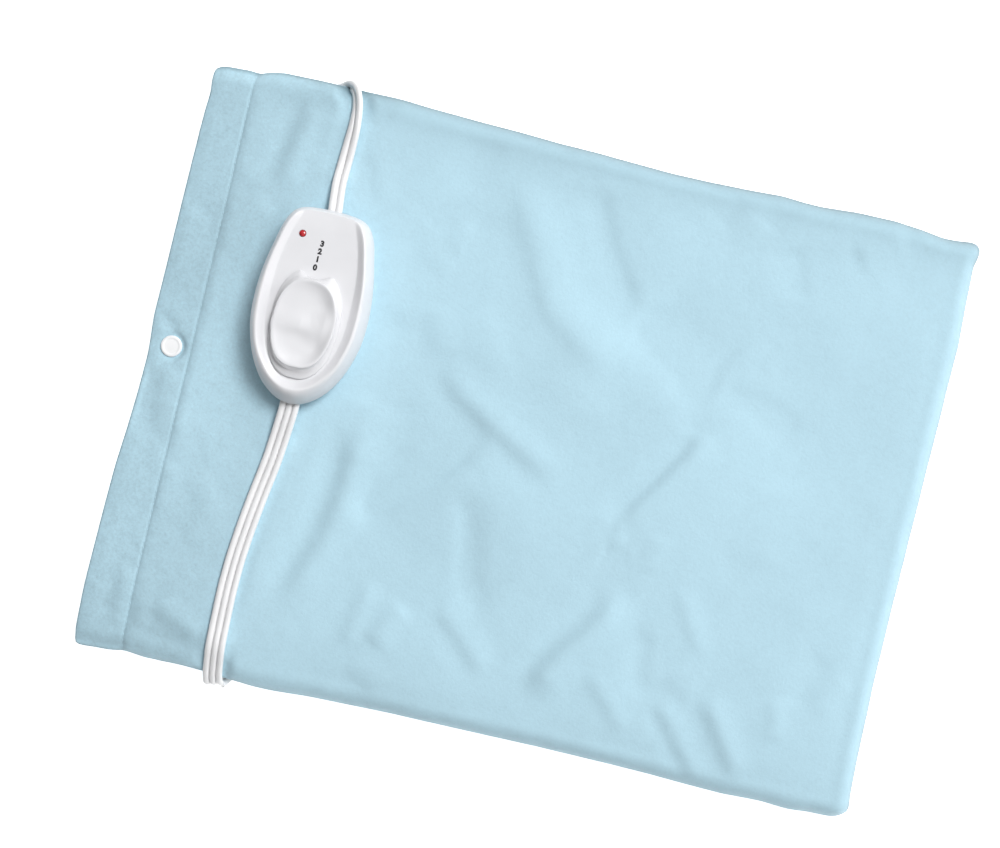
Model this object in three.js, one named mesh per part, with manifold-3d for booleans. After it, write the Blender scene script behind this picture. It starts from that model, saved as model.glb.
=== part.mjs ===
// Heating pad with an in-line slide controller, as an assembly of its separate pieces.
// Millimetres, +Z up. The pad lies flat on z = 0, X along its long side, Y along its short side.
// The cover's mouth, with its hem and snap, is at -X; the controller lies on the pad near the mouth.
import * as THREE from "three";
import { mergeVertices } from "three/addons/utils/BufferGeometryUtils.js";
import Module from "manifold-3d";

const wasm = await Module();
wasm.setup();

// ---------------------------------------------------------------- driving dimensions
const CENTRE = [0.9, -0.75]; // moves the outline's box centre onto the origin
const GAP = 0.3; // between pieces that touch
const CLOTH = 1.6; // fleece, lower panel
const CLOTH_TOP = 1.8; // fleece, upper panel, nap included
const HEM = 2.4; // folded hem, two layers
const VINYL = 0.7; // one sheet of the envelope
const BATT = 2.2; // one batting layer
const WIRE = 2.0; // heating wire over its insulation
const UNDER = 4.9; // height of the lower panel over the stowed cord
const SEAM_X = -181.2; // stitch line of the hem
const SNAP = [-192, 6];
const CTRL = [-122.7, 41.9]; // controller centre on the pad
const CTRL_K = 0.97; // the controller's drawn size to its real size
const CTRL_Z = 18.3; // underside of the controller
const CTRL_SPLIT = 8.0; // parting line over the controller's underside
const CTRL_H = 21; // controller height to its rim
const FACE = 18.6; // recessed face over the controller's underside
const MAINS = { w: 7.4, t: 3.0 }; // flat two-core cord
const LEAD = { w: 10.2, t: 3.3 }; // flat three-core lead
const HANK = { x0: -5, x1: 105, y: 10, r: 39.4, pitch: 7.7, z: 0.8 };
const STEP = 4.2; // one step of the slide switch

// ---------------------------------------------------------------- colours
const mat = (color, roughness = 0.6, metalness = 0) =>
  new THREE.MeshStandardMaterial({ color, roughness, metalness });
const FLEECE = mat(0xbbddec, 0.95);
const WHITE = mat(0xf2f2f4, 0.3);
const CORD = mat(0xf4f4f4, 0.4);
const SHEET = mat(0xe8e6de, 0.35);
const BATTING = mat(0xf3f1ea, 1.0);
const WIRING = mat(0xd8c9a8, 0.6);
const BRASS = mat(0xc9a54a, 0.35, 1);
const STEEL = mat(0xb9bcc0, 0.3, 1);
const BOARD = mat(0x8a6a3c, 0.6);
const RED = mat(0xc41a1f, 0.2);
const DARK = mat(0x33343a, 0.5);

// ---------------------------------------------------------------- solids
const solid = (geometry) => {
  const g = geometry.index ? geometry.toNonIndexed() : geometry.clone();
  for (const key of Object.keys(g.attributes))
    if (key !== "position") g.deleteAttribute(key);
  const m = mergeVertices(g, 1e-4);
  return new wasm.Manifold(
    new wasm.Mesh({
      numProp: 3,
      vertProperties: new Float32Array(m.attributes.position.array),
      triVerts: new Uint32Array(m.index.array),
    }),
  );
};
const geometryOf = (s) => {
  const m = s.getMesh();
  const v = new Float32Array(m.numVert * 3);
  for (let i = 0; i < m.numVert; i++)
    v.set(m.vertProperties.subarray(i * m.numProp, i * m.numProp + 3), i * 3);
  const g = new THREE.BufferGeometry();
  g.setAttribute("position", new THREE.BufferAttribute(v, 3));
  g.setIndex(new THREE.BufferAttribute(new Uint32Array(m.triVerts), 1));
  return g;
};
const group = new THREE.Group();
const place = (name, thing, material, at = [0, 0, 0], parent = group) => {
  const g = thing.isBufferGeometry ? thing : geometryOf(thing);
  g.computeVertexNormals();
  const mesh = new THREE.Mesh(g, material);
  mesh.name = name;
  mesh.position.set(...at);
  parent.add(mesh);
  return mesh;
};
const box = (x0, x1, y0, y1, z0, z1) =>
  solid(
    new THREE.BoxGeometry(x1 - x0, y1 - y0, z1 - z0).translate(
      (x0 + x1) / 2,
      (y0 + y1) / 2,
      (z0 + z1) / 2,
    ),
  );
const post = (x, y, z0, z1, r, n = 16) =>
  solid(
    new THREE.CylinderGeometry(r, r, z1 - z0, n)
      .rotateX(Math.PI / 2)
      .translate(x, y, (z0 + z1) / 2),
  );
// A turned piece about a vertical axis: profile of [radius, z] from the axis out and back.
const turned = (profile, x, y, n = 18) =>
  solid(
    new THREE.LatheGeometry(
      profile.map(([r, z]) => new THREE.Vector2(r, z)),
      n,
    )
      .rotateX(Math.PI / 2)
      .translate(x, y, 0),
  );
const prism = (points, z0, z1, holes = []) => {
  const shape = new THREE.Shape(points.map(([x, y]) => new THREE.Vector2(x, y)));
  for (const h of holes)
    shape.holes.push(new THREE.Path(h.map(([x, y]) => new THREE.Vector2(x, y))));
  return solid(
    new THREE.ExtrudeGeometry(shape, {
      depth: z1 - z0,
      bevelEnabled: false,
    }).translate(0, 0, z0),
  );
};
// Rings of points, all of one length and counter-clockwise, joined from the lowest to the highest.
const loft = (rings) => {
  const n = rings[0].points.length;
  const pos = [];
  for (const r of rings) for (const [x, y] of r.points) pos.push(x, y, r.z);
  const idx = [];
  for (let k = 0; k + 1 < rings.length; k++)
    for (let i = 0; i < n; i++) {
      const a = k * n + i,
        b = k * n + ((i + 1) % n),
        c = a + n,
        d = b + n;
      idx.push(a, b, d, a, d, c);
    }
  const cap = (ring, base, up) => {
    const c = ring.points.map(([x, y]) => new THREE.Vector2(x, y));
    for (const [p, q, r] of THREE.ShapeUtils.triangulateShape(c, []))
      up ? idx.push(base + p, base + q, base + r) : idx.push(base + r, base + q, base + p);
  };
  cap(rings[0], 0, false);
  cap(rings[rings.length - 1], (rings.length - 1) * n, true);
  const g = new THREE.BufferGeometry();
  g.setAttribute("position", new THREE.Float32BufferAttribute(pos, 3));
  g.setIndex(idx);
  return solid(g);
};
// A smooth closed outline through one half's points, mirrored over x = 0, counter-clockwise.
const mirrored = (half, n) => {
  const left = half
    .slice(1, -1)
    .map(([x, y]) => [-x, y])
    .reverse();
  const all = [...half, ...left].map(([x, y]) => new THREE.Vector3(x, y, 0));
  const pts = new THREE.CatmullRomCurve3(all, true, "centripetal")
    .getSpacedPoints(n)
    .slice(0, n)
    .map((p) => [p.x, p.y]);
  return THREE.ShapeUtils.isClockWise(pts.map(([x, y]) => new THREE.Vector2(x, y)))
    ? pts.reverse()
    : pts;
};
const inward = (pts, t) =>
  pts.map(([x, y], i) => {
    const a = pts[(i + pts.length - 1) % pts.length],
      b = pts[(i + 1) % pts.length];
    const dx = b[0] - a[0],
      dy = b[1] - a[1],
      l = Math.hypot(dx, dy);
    return [x - (dy / l) * t, y + (dx / l) * t];
  });

// ---------------------------------------------------------------- a path whose points are its steps
class StepPath extends THREE.Curve {
  constructor(points) {
    super();
    this.points = points.map((p) => new THREE.Vector3(...p));
  }
  getPoint(t, out = new THREE.Vector3()) {
    const n = this.points.length - 1,
      u = Math.min(Math.max(t, 0), 1) * n,
      i = Math.min(Math.floor(u), n - 1);
    return out.copy(this.points[i]).lerp(this.points[i + 1], u - i);
  }
  getUtoTmapping(u) {
    return u;
  }
  // The section's width stays level wherever the path isn't steep, so a flat cord lies flat and folds over an edge without a twist.
  computeFrenetFrames() {
    const n = this.points.length,
      tangents = [],
      normals = [],
      binormals = [];
    let last = null;
    for (let i = 0; i < n; i++) {
      const t = new THREE.Vector3();
      if (i) t.add(this.points[i].clone().sub(this.points[i - 1]).normalize());
      if (i < n - 1) t.add(this.points[i + 1].clone().sub(this.points[i]).normalize());
      t.normalize();
      let w = new THREE.Vector3(-t.y, t.x, 0);
      const level = w.length();
      if (level > 1e-6) w.normalize();
      if (last) {
        if (w.dot(last) < 0) w.negate();
        const k = Math.min(1, Math.max(0, (level - 0.35) / 0.4));
        w = last.clone().lerp(w, k);
      }
      w.addScaledVector(t, -w.dot(t)).normalize();
      last = w.clone();
      tangents.push(t);
      binormals.push(w);
      normals.push(w.clone().cross(t));
    }
    return { tangents, normals, binormals };
  }
}
// A flat or round section swept along the points: the section's x is its height, its y the width that stays level.
const sweep = (points, height, width, sides = 8) => {
  const section = [];
  for (let i = 0; i < sides; i++) {
    const a = ((i + 0.5) / sides) * 2 * Math.PI;
    const k = 1 / Math.cos(Math.PI / sides);
    if (Math.abs(height - width) < 1e-6)
      section.push(new THREE.Vector2((Math.cos(a) * height) / 2, (Math.sin(a) * width) / 2));
    else {
      // straight sides with small corners, so that the flat cord fills its height
      const x = Math.max(-1, Math.min(1, Math.cos(a) * k)) * (height / 2);
      const y = Math.max(-1, Math.min(1, Math.sin(a) * k)) * (width / 2);
      section.push(new THREE.Vector2(x, y));
    }
  }
  return new THREE.ExtrudeGeometry(new THREE.Shape(section), {
    steps: points.length - 1,
    bevelEnabled: false,
    extrudePath: new StepPath(points),
  });
};
// Points along a smooth curve through the given ones: close together where it bends, at most maxStep apart.
const smooth = (points, maxStep, maxTurn = 0.3) => {
  const c = new THREE.CatmullRomCurve3(
    points.map((p) => new THREE.Vector3(...p)),
    false,
    "centripetal",
  );
  c.arcLengthDivisions = 3000;
  const fine = c.getSpacedPoints(Math.round(c.getLength() / 1.2));
  const out = [fine[0]];
  let turn = 0,
    far = 0;
  for (let i = 1; i < fine.length - 1; i++) {
    const a = fine[i].clone().sub(fine[i - 1]),
      b = fine[i + 1].clone().sub(fine[i]);
    far += a.length();
    turn += a.angleTo(b);
    if (turn > maxTurn || far > maxStep) {
      out.push(fine[i]);
      turn = 0;
      far = 0;
    }
  }
  if (out[out.length - 1].distanceTo(fine[fine.length - 1]) < 2.5) out.pop();
  out.push(fine[fine.length - 1]);
  return out.map((p) => [p.x, p.y, p.z]);
};
// The same points without those that lie on the line between their neighbours.
const simplify = (points, tolerance = 0.03) => {
  const out = [points[0]];
  let k = 0;
  while (k < points.length - 1) {
    let m = k + 1;
    while (m + 1 < points.length) {
      const a = new THREE.Vector3(...points[k]),
        d = new THREE.Vector3(...points[m + 1]).sub(a),
        l = d.length();
      let off = 0;
      for (let q = k + 1; q <= m; q++)
        off = Math.max(off, new THREE.Vector3(...points[q]).sub(a).cross(d).length() / l);
      if (off > tolerance) break;
      m++;
    }
    out.push(points[m]);
    k = m;
  }
  return out;
};

// ---------------------------------------------------------------- the pad's shared grid
// Each layer's surface runs over the same grid, so that no layer cuts its neighbour.
const COLS = [-205, -193, SEAM_X, -166, -150, -128, -110, -90, -60, -30, 0, 30, 60, 90, 120, 150, 174, 188, 198, 205];
const ROWS = [-154, -147, -138, -124, -106, -88, -60, -30, 0, 30, 60, 90, 115, 138, 147, 155];
const table = (rows) => (v) => {
  if (v <= rows[0][0]) return rows[0][1];
  for (let i = 1; i < rows.length; i++)
    if (v <= rows[i][0]) {
      const [a, fa] = rows[i - 1],
        [b, fb] = rows[i];
      return fa + ((fb - fa) * (v - a)) / (b - a);
    }
  return rows[rows.length - 1][1];
};
const TOP = table([
  [-205, 152.6], [-199, 154.9], [-190, 155.4], [-181, 155.0], [-174, 156.6], [-160, 157.5], [-150, 157.3], [-128, 156.3],
  [-100, 158.2], [-80, 157.6], [-60, 156.8], [-20, 155.5], [0, 155.2], [40, 153.7], [60, 153.9], [100, 155.4],
  [120, 154.6], [150, 156.3], [175, 154.9], [188, 153.5], [198, 154.0], [205, 152.0],
]);
const BOTTOM = table([
  [-207, -154.2], [-204, -156.1], [-199, -156.6], [-190, -156.0], [-181, -154.0], [-168, -155.5], [-150, -153.9],
  [-128, -154.4], [-100, -156.2], [-80, -155.3], [-60, -154.7], [0, -153.9], [60, -153.5], [120, -154.6],
  [140, -155.0], [160, -154.2], [188, -153.9], [198, -153.0], [205, -149.2],
]);
const LEFT = table([
  [-154, -206.3], [-147, -208.2], [-120, -208.4], [-80, -207.5], [-60, -206.9], [-40, -205.7], [-20, -204.8],
  [0, -204.5], [20, -206.0], [60, -205.5], [100, -205.2], [120, -204.9], [140, -204.0], [147, -204.9], [155, -203.4],
]);
const RIGHT = table([
  [-154, 204.2], [-147, 206.6], [-120, 204.7], [-80, 204.0], [-40, 204.3], [0, 204.9], [60, 205.9], [100, 206.6],
  [140, 204.8], [147, 206.2], [155, 205.0],
]);
const LAST_COL = COLS.length - 1,
  LAST_ROW = ROWS.length - 1;
const gridXY = (i, j) => {
  const x = i === 0 ? LEFT(ROWS[j]) : i === LAST_COL ? RIGHT(ROWS[j]) : COLS[i];
  const y = j === 0 ? BOTTOM(x) : j === LAST_ROW ? TOP(x) : ROWS[j];
  return [x, y];
};
// How far the pad is lifted over the plug, 0 to 1.
const overPlug = (x, y) => {
  const dx = Math.max(0, Math.abs(x - 27) - 44) / 70,
    dy = Math.max(0, Math.abs(y - 3) - 30) / 55;
  const d = Math.min(1, Math.hypot(dx, dy));
  return 1 - d * d * (3 - 2 * d);
};
const inRange = (v, a, b) => v >= a && v <= b;
// All levels at one grid point, from the floor up.
const levels = (i, j) => {
  const X = COLS[i],
    Y = ROWS[j];
  const edge = j === 0 || j === LAST_ROW || i === LAST_COL;
  const rim = !edge && (j === 1 || j === LAST_ROW - 1 || i === LAST_COL - 1);
  const cordTop = j >= LAST_ROW - 1 && inRange(X, -166, -110);
  const cordBottom = j <= 1 && inRange(X, -150, j === 0 ? -110 : -90);
  const mouthCord = inRange(Y, -124, -88) && X <= -128; // where the lead runs in between the panels
  const p = overPlug(X, Y);
  let zb = UNDER + 5.0 * p;
  if (edge || rim) zb = cordTop || cordBottom ? 5.2 : 0;
  if (i <= 2) zb = inRange(Y, -87, -40) ? 3.9 : 0; // the hem lies on the floor, but over the lead
  if (i === 2 && Y === -88) zb = 3.9;
  if (i <= 1 && Y === -88) zb = 3.9;
  if (i === 2 && Y === -30) zb = 2.0;
  if (mouthCord && i === 3) zb = Y === -88 ? 3.9 : 0;
  if (mouthCord && i === 4) zb = Y === -88 ? 4.4 : 1.5;
  if (mouthCord && i === 5) zb = Y === -88 ? 4.9 : 3.4;
  const cl = [zb, zb + CLOTH];
  const t = BATT - 1.4 * p;
  const L = { cl };
  L.el = [cl[1] + GAP, cl[1] + GAP + VINYL];
  L.bl = [L.el[1] + GAP, L.el[1] + GAP + t];
  L.wire = [L.bl[1] + GAP, L.bl[1] + GAP + WIRE];
  L.bu = [L.wire[1] + GAP, L.wire[1] + GAP + t];
  L.eu = [L.bu[1] + GAP, L.bu[1] + GAP + VINYL];
  L.cu = [L.eu[1] + GAP, L.eu[1] + GAP + CLOTH_TOP];
  const full = UNDER + CLOTH + 6 * GAP + 2 * VINYL + 2 * BATT + WIRE; // upper panel's underside over the insert
  if (mouthCord && i >= 3) {
    // the insert's corner is pressed down there, the upper panel is not
    L.eu = i === 4 ? [9.8, 10.5] : L.eu;
    if (i === 5) {
      const up = full - GAP - VINYL;
      L.eu = [up, up + VINYL];
      L.bu = [up - GAP - t, up - GAP];
    }
    L.cu = [full, full + CLOTH_TOP];
  }
  if (i === 4 && !mouthCord) L.eu = [L.el[1] + GAP, L.el[1] + GAP + VINYL];
  if (rim) {
    const b = Math.max(4.2, cl[1] + GAP);
    L.el = [b, b + VINYL];
    L.eu = [b + VINYL + GAP, b + 2 * VINYL + GAP];
    L.cu = [11.2, 11.2 + CLOTH_TOP];
  }
  if (edge) L.cu = [cl[1] + GAP, cl[1] + GAP + CLOTH_TOP];
  if (i >= 3 && i <= 4 && !edge && !rim) {
    const b = i === 3 ? 13.6 : full - 0.2;
    L.cu = [b, b + CLOTH_TOP];
  }
  if (i <= 2) {
    const lift = inRange(Y, -124, -60) ? 7.3 : inRange(Y, -147, -30) ? 5.6 : 4.2;
    const b = i === 0 ? lift - 1.2 : lift;
    L.hem = [b, b + HEM];
    L.cl = [zb, zb + (i < 2 ? HEM : 2.2)];
    L.hem[0] = Math.max(L.hem[0], L.cl[1] + GAP);
    L.hem[1] = L.hem[0] + HEM;
    L.cu = [L.hem[0], L.hem[0] + 2.0];
  }
  return L;
};
const LEVELS = COLS.map((_, i) => ROWS.map((_, j) => levels(i, j)));
// A closed slab over the cells (i0..i1, j0..j1), with xShift of its first column and cells left out.
const slab = (layer, i0, i1, j0, j1, { left, right, skip = () => false } = {}) => {
  const ni = i1 - i0 + 1,
    nj = j1 - j0 + 1;
  const pos = [];
  for (const side of [0, 1])
    for (let i = i0; i <= i1; i++)
      for (let j = j0; j <= j1; j++) {
        let [x, y] = gridXY(i, j);
        if (i === i0 && left !== undefined) x = left;
        if (i === i1 && right !== undefined) x = right;
        pos.push(x, y, LEVELS[i][j][layer][side]);
      }
  const at = (i, j, side) => side * ni * nj + (i - i0) * nj + (j - j0);
  const there = (i, j) => i >= i0 && i < i1 && j >= j0 && j < j1 && !skip(i, j);
  const idx = [];
  for (let i = i0; i < i1; i++)
    for (let j = j0; j < j1; j++) {
      if (!there(i, j)) continue;
      const a = [i, j],
        b = [i + 1, j],
        c = [i + 1, j + 1],
        d = [i, j + 1];
      idx.push(at(...a, 1), at(...b, 1), at(...c, 1), at(...a, 1), at(...c, 1), at(...d, 1));
      idx.push(at(...a, 0), at(...c, 0), at(...b, 0), at(...a, 0), at(...d, 0), at(...c, 0));
      const wall = (p, q) =>
        idx.push(at(...p, 0), at(...q, 0), at(...q, 1), at(...p, 0), at(...q, 1), at(...p, 1));
      if (!there(i, j - 1)) wall(a, b);
      if (!there(i + 1, j)) wall(b, c);
      if (!there(i, j + 1)) wall(c, d);
      if (!there(i - 1, j)) wall(d, a);
    }
  const g = new THREE.BufferGeometry();
  g.setAttribute("position", new THREE.Float32BufferAttribute(pos, 3));
  g.setIndex(idx);
  return solid(g);
};
// Height of a layer's surface at any point of the pad.
const heightAt = (layer, side, x, y) => {
  let i = 0,
    j = 0;
  while (i < LAST_COL - 1 && x > gridXY(i + 1, 8)[0]) i++;
  while (j < LAST_ROW - 1 && y > ROWS[j + 1]) j++;
  const [x0, y0] = gridXY(i, j),
    [x1, y1] = gridXY(i + 1, j + 1);
  const u = Math.min(Math.max((x - x0) / (x1 - x0), 0), 1),
    v = Math.min(Math.max((y - y0) / (y1 - y0), 0), 1);
  const z = (a, b) => LEVELS[a][b][layer][side];
  return u >= v
    ? z(i, j) + u * (z(i + 1, j) - z(i, j)) + v * (z(i + 1, j + 1) - z(i + 1, j))
    : z(i, j) + v * (z(i, j + 1) - z(i, j)) + u * (z(i + 1, j + 1) - z(i, j + 1));
};

// ---------------------------------------------------------------- cover
const [sx, sy] = SNAP;
// The lower panel, with its hem; a notch in the hem lets the lead in.
const notch = (i, j) => i < 3 && j >= 3 && j < 5;
const lowerPanel = slab("cl", 0, LAST_COL, 0, LAST_ROW, { skip: notch })
  .subtract(post(sx, sy, -1, 1.0, 6.2))
  .subtract(post(sx, sy, 1.7, 4, 5.2))
  .subtract(post(sx, sy, 0, 4, 1.3, 12));
place("cover_lower_panel", lowerPanel, FLEECE);
place("cover_upper_panel", slab("cu", 2, LAST_COL, 0, LAST_ROW, { left: SEAM_X + 0.3 }), FLEECE);
const upperHem = slab("hem", 0, 2, 0, LAST_ROW, { right: SEAM_X - 0.3 })
  .subtract(post(sx, sy, 5.7, 9, 6.2))
  .subtract(post(sx, sy, 2, 5.0, 5.4))
  .subtract(post(sx, sy, 2, 9, 1.3, 12));
place("cover_upper_hem", upperHem, FLEECE);

// ---------------------------------------------------------------- snap, from the floor up
place(
  "snap_back_cap",
  turned([[0, 0.1], [5.2, 0.1], [5.6, 0.35], [5.6, 0.7], [1.0, 0.7], [0.9, 3.3], [0, 3.3]], sx, sy),
  WHITE,
);
place(
  "snap_stud",
  turned([[1.3, 2.0], [4.6, 2.0], [4.6, 2.7], [2.3, 2.7], [2.5, 3.6], [2.1, 4.0], [1.3, 4.0], [1.3, 2.0]], sx, sy),
  WHITE,
);
place(
  "snap_socket",
  turned(
    [[3.35, 3.0], [4.9, 3.0], [4.9, 4.7], [1.3, 4.7], [1.3, 4.3], [3.35, 4.3], [3.35, 3.0]],
    sx,
    sy,
  ),
  WHITE,
);
place(
  "snap_cap",
  turned(
    [[0, 4.35], [0.9, 4.35], [0.9, 6.0], [5.6, 6.0], [5.6, 6.5], [5.2, 7.0], [4.2, 7.15], [3.9, 6.95], [0, 6.95]],
    sx,
    sy,
  ),
  WHITE,
);

// ---------------------------------------------------------------- insert: envelope and batting
const J = { x0: -137.5, x1: -118, y0: -121, y1: -109, z0: 7.2, z1: 11.2 }; // junction block
place("envelope_lower", slab("el", 4, LAST_COL - 1, 1, LAST_ROW - 1), SHEET);
place("envelope_upper", slab("eu", 4, LAST_COL - 1, 1, LAST_ROW - 1), SHEET);
const T = [
  { name: "thermostat_a", x: -40, y: -56 },
  { name: "thermostat_b", x: 120, y: 84 },
];
const C = { x: 182, y: 22 }; // crimp of the two circuits' ends and the return
const clearOf = (s) => {
  let out = s.subtract(box(-140, J.x1 + 12, J.y0 - 5, J.y1 + 7, 2, 20));
  for (const t of T) {
    const z = heightAt("wire", 0, t.x, t.y) + WIRE / 2;
    out = out.subtract(box(t.x - 10, t.x + 10, t.y - 4.2, t.y + 4.2, z - 2.6, z + 2.6));
  }
  const z = heightAt("wire", 0, C.x, C.y) + WIRE / 2;
  return out.subtract(box(C.x - 3.4, C.x + 3.4, C.y - 6, C.y + 6, z - 1.9, z + 1.9));
};
place("batting_lower", clearOf(slab("bl", 5, LAST_COL - 2, 2, LAST_ROW - 2)), BATTING);
place("batting_upper", clearOf(slab("bu", 5, LAST_COL - 2, 2, LAST_ROW - 2)), BATTING);

// ---------------------------------------------------------------- heating circuits
const arc = (cx, cy, r, a0, a1, n) => {
  const out = [];
  for (let k = 0; k <= n; k++) {
    const a = ((a0 + ((a1 - a0) * k) / n) * Math.PI) / 180;
    out.push([cx + r * Math.cos(a), cy + r * Math.sin(a)]);
  }
  return out;
};
const XL = -94,
  XR = 160,
  PITCH = 28;
// Straight rows get a point at each grid column, because the layers bend there.
const row = (y, from, to) => {
  const xs = [from, ...COLS.filter((x) => x > Math.min(from, to) + 3 && x < Math.max(from, to) - 3), to];
  xs.sort((a, b) => (from < to ? a - b : b - a));
  return xs.map((x) => [x, y]);
};
const serpentine = (ys, startRight) => {
  let out = [],
    right = startRight;
  ys.forEach((y, k) => {
    out = out.concat(row(y, right ? XL : XR, right ? XR : XL));
    const next = ys[k + 1];
    if (next !== undefined) {
      const cy = (y + next) / 2,
        up = next > y;
      out = out.concat(
        right
          ? arc(XR, cy, PITCH / 2, up ? -90 : 90, up ? 90 : -90, 5).slice(1, -1)
          : arc(XL, cy, PITCH / 2, up ? 270 : 90, up ? 90 : 270, 5).slice(1, -1),
      );
    }
    right = !right;
  });
  return out;
};
const wireZ = (x, y) => heightAt("wire", 0, x, y) + WIRE / 2;
const lay = (pts) => pts.map(([x, y, z]) => [x, y, z ?? wireZ(x, y)]);
const cut = (pts, x, y, half) => {
  // splits the path where it passes (x, y) along X, leaving room for the piece there
  const k = pts.findIndex(
    (p, n) => n && Math.abs(p[1] - y) < 0.01 && Math.abs(pts[n - 1][1] - y) < 0.01 && (p[0] - x) * (pts[n - 1][0] - x) <= 0,
  );
  const s = Math.sign(pts[k][0] - pts[k - 1][0]);
  const a = pts.slice(0, k).filter((p, n) => n < k - 1 || Math.abs(p[0] - x) > half + 2);
  const b = pts.slice(k).filter((p, n) => n > 0 || Math.abs(p[0] - x) > half + 2);
  return [
    [...a, [x - s * half, y, wireZ(x, y)]],
    [[x + s * half, y, wireZ(x, y)], ...b],
  ];
};
const jx = J.x1 + GAP,
  jz = (J.z0 + J.z1) / 2;
// circuit A: five rows over the middle of the pad
const A = [
  [jx, -112, jz], [-113, -111, jz + 0.8], [-110, -104, 11.1], [-107, -95, 11.45], [-101, -87],
  ...serpentine([-84, -56, -28, 0, 28], true),
  [171, 26.5], [C.x - 3, 24.5],
];
// circuit B: up the mouth side, then three rows at the far side
const B = [
  [-122, J.y1 + GAP, jz], [-121.5, -106, jz + 0.4], [-120, -101, 10.5], [-118, -92], [-117, -80], [-117, -60],
  [-117, -30], [-117, 0], [-117, 30], [-117, 60], [-117, 90], [-114.5, 101], [-107, 109.5], [-100, 111.6],
  ...serpentine([112, 84, 56], true),
  [170, 55], [178, 50.5], [C.x, 43], [C.x, C.y + 5.3],
];
// return: along the edge back to the junction
const R = [
  [jx, -118, jz], [-113, -118, jz + 0.8], [-107, -116.5, 11.2], [-100, -114.5, 11.4], [-95, -112.5],
  ...row(-112, -90, 160), [170, -110], [178, -104], [C.x, -95], [C.x, -88], [C.x, -60], [C.x, -30], [C.x, 0], [C.x, C.y - 5.3],
];
const wire = (pts) => sweep(simplify(lay(pts)), WIRE, WIRE, 6);
const [a1, a2] = cut(lay(A), T[0].x, T[0].y, 9.3);
const [b1, b2] = cut(lay(B), T[1].x, T[1].y, 9.3);
place("element_a_1", wire(a1), WIRING);
place("element_a_2", wire(a2), WIRING);
place("element_b_1", wire(b1), WIRING);
place("element_b_2", wire(b2), WIRING);
place("return_wire", wire(R), WIRING);
for (const t of T) {
  const z = wireZ(t.x, t.y);
  place(t.name, box(t.x - 9, t.x + 9, t.y - 3.5, t.y + 3.5, z - 2.1, z + 2.1), DARK);
}
place("return_crimp", box(C.x - 2.7, C.x + 2.7, C.y - 5, C.y + 5, wireZ(C.x, C.y) - 1.5, wireZ(C.x, C.y) + 1.5), BRASS);
place("junction_block", box(J.x0, J.x1, J.y0, J.y1, J.z0, J.z1), WHITE);
// Strain relief of the lead, held between the envelope's sheets.
const RELIEF_Y = -115,
  RELIEF_Z = 7.5;
place(
  "pad_strain_relief",
  loft([
    { z: -162, points: [[-1.9, -5.8], [1.9, -5.8], [1.9, 5.8], [-1.9, 5.8]] },
    { z: -152, points: [[-2.0, -7], [2.0, -7], [2.0, 7], [-2.0, 7]] },
    { z: -150, points: [[-2.0, -8.6], [2.0, -8.6], [2.0, 8.6], [-2.0, 8.6]] },
    { z: -138.5, points: [[-2.0, -8.6], [2.0, -8.6], [2.0, 8.6], [-2.0, 8.6]] },
  ])
    .rotate([0, 90, 0])
    .translate([0, RELIEF_Y, RELIEF_Z]),
  WHITE,
);

// ---------------------------------------------------------------- controller
const ctrl = new THREE.Group();
ctrl.position.set(CTRL[0], CTRL[1], CTRL_Z);
ctrl.scale.setScalar(CTRL_K);
group.add(ctrl);
const EGG = mirrored(
  [
    [0, 51.6], [7, 51.4], [13, 50.6], [17.2, 49.2], [20.3, 46.8], [22.6, 43.2], [24.4, 38], [26.5, 29], [28.3, 20.5],
    [29.6, 12], [30.3, 3], [30.35, -5], [29.6, -14], [27.9, -21.5], [25.4, -29], [22, -36], [18.4, -41.5],
    [14, -46.1], [9, -49.6], [4, -51.6], [0, -52],
  ],
  42,
);
const shell = (list) => loft(list.map(([z, t]) => ({ z, points: inward(EGG, t) })));
const RECESS = mirrored(
  [
    [0, 62], [12.5, 61], [14, 50], [15.5, 44], [18.2, 36], [20.3, 27], [21.8, 17], [22.3, 6], [22.2, -5], [21.2, -15],
    [18.9, -24], [15.4, -31.5], [10, -38], [5, -40.7], [0, -41.4],
  ],
  36,
);
const PIN = [[21.5, 14], [-21.5, 14], [21.5, -17], [-21.5, -17]]; // housing screws
let lower = shell([[0, 4.6], [0.8, 3.2], [2.4, 1.7], [4.8, 0.5], [CTRL_SPLIT, 0]]).subtract(
  shell([[2.0, 4.6], [3.5, 3.2], [5.5, 2.4], [CTRL_SPLIT + 1, 2.2]]),
);
for (const [x, y] of PIN) lower = lower.add(post(x, y, 1, CTRL_SPLIT - 0.1, 3.6));
lower = lower.add(box(-14, 14, -33, -30.5, 1.5, 5.7)).add(box(-14, 14, 30, 32.5, 1.5, 5.7)).add(box(-14, 14, -2, 0.5, 1.5, 5.7));
for (const [x, y] of PIN) lower = lower.subtract(post(x, y, -1, 2.4, 3.0)).subtract(post(x, y, -1, 10, 1.7, 14));
const mainsZ = 5.4,
  leadZ = 5.4; // cord centres over the controller's underside
lower = lower
  .subtract(box(-MAINS.w / 2 - 0.7, MAINS.w / 2 + 0.7, 44, 60, mainsZ - MAINS.t / 2 - 1.0, 10))
  .subtract(box(-LEAD.w / 2 - 0.7, LEAD.w / 2 + 0.7, -60, -44, leadZ - LEAD.t / 2 - 1.0, 10));
place("controller_lower_housing", lower, WHITE, [0, 0, 0], ctrl);

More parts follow.
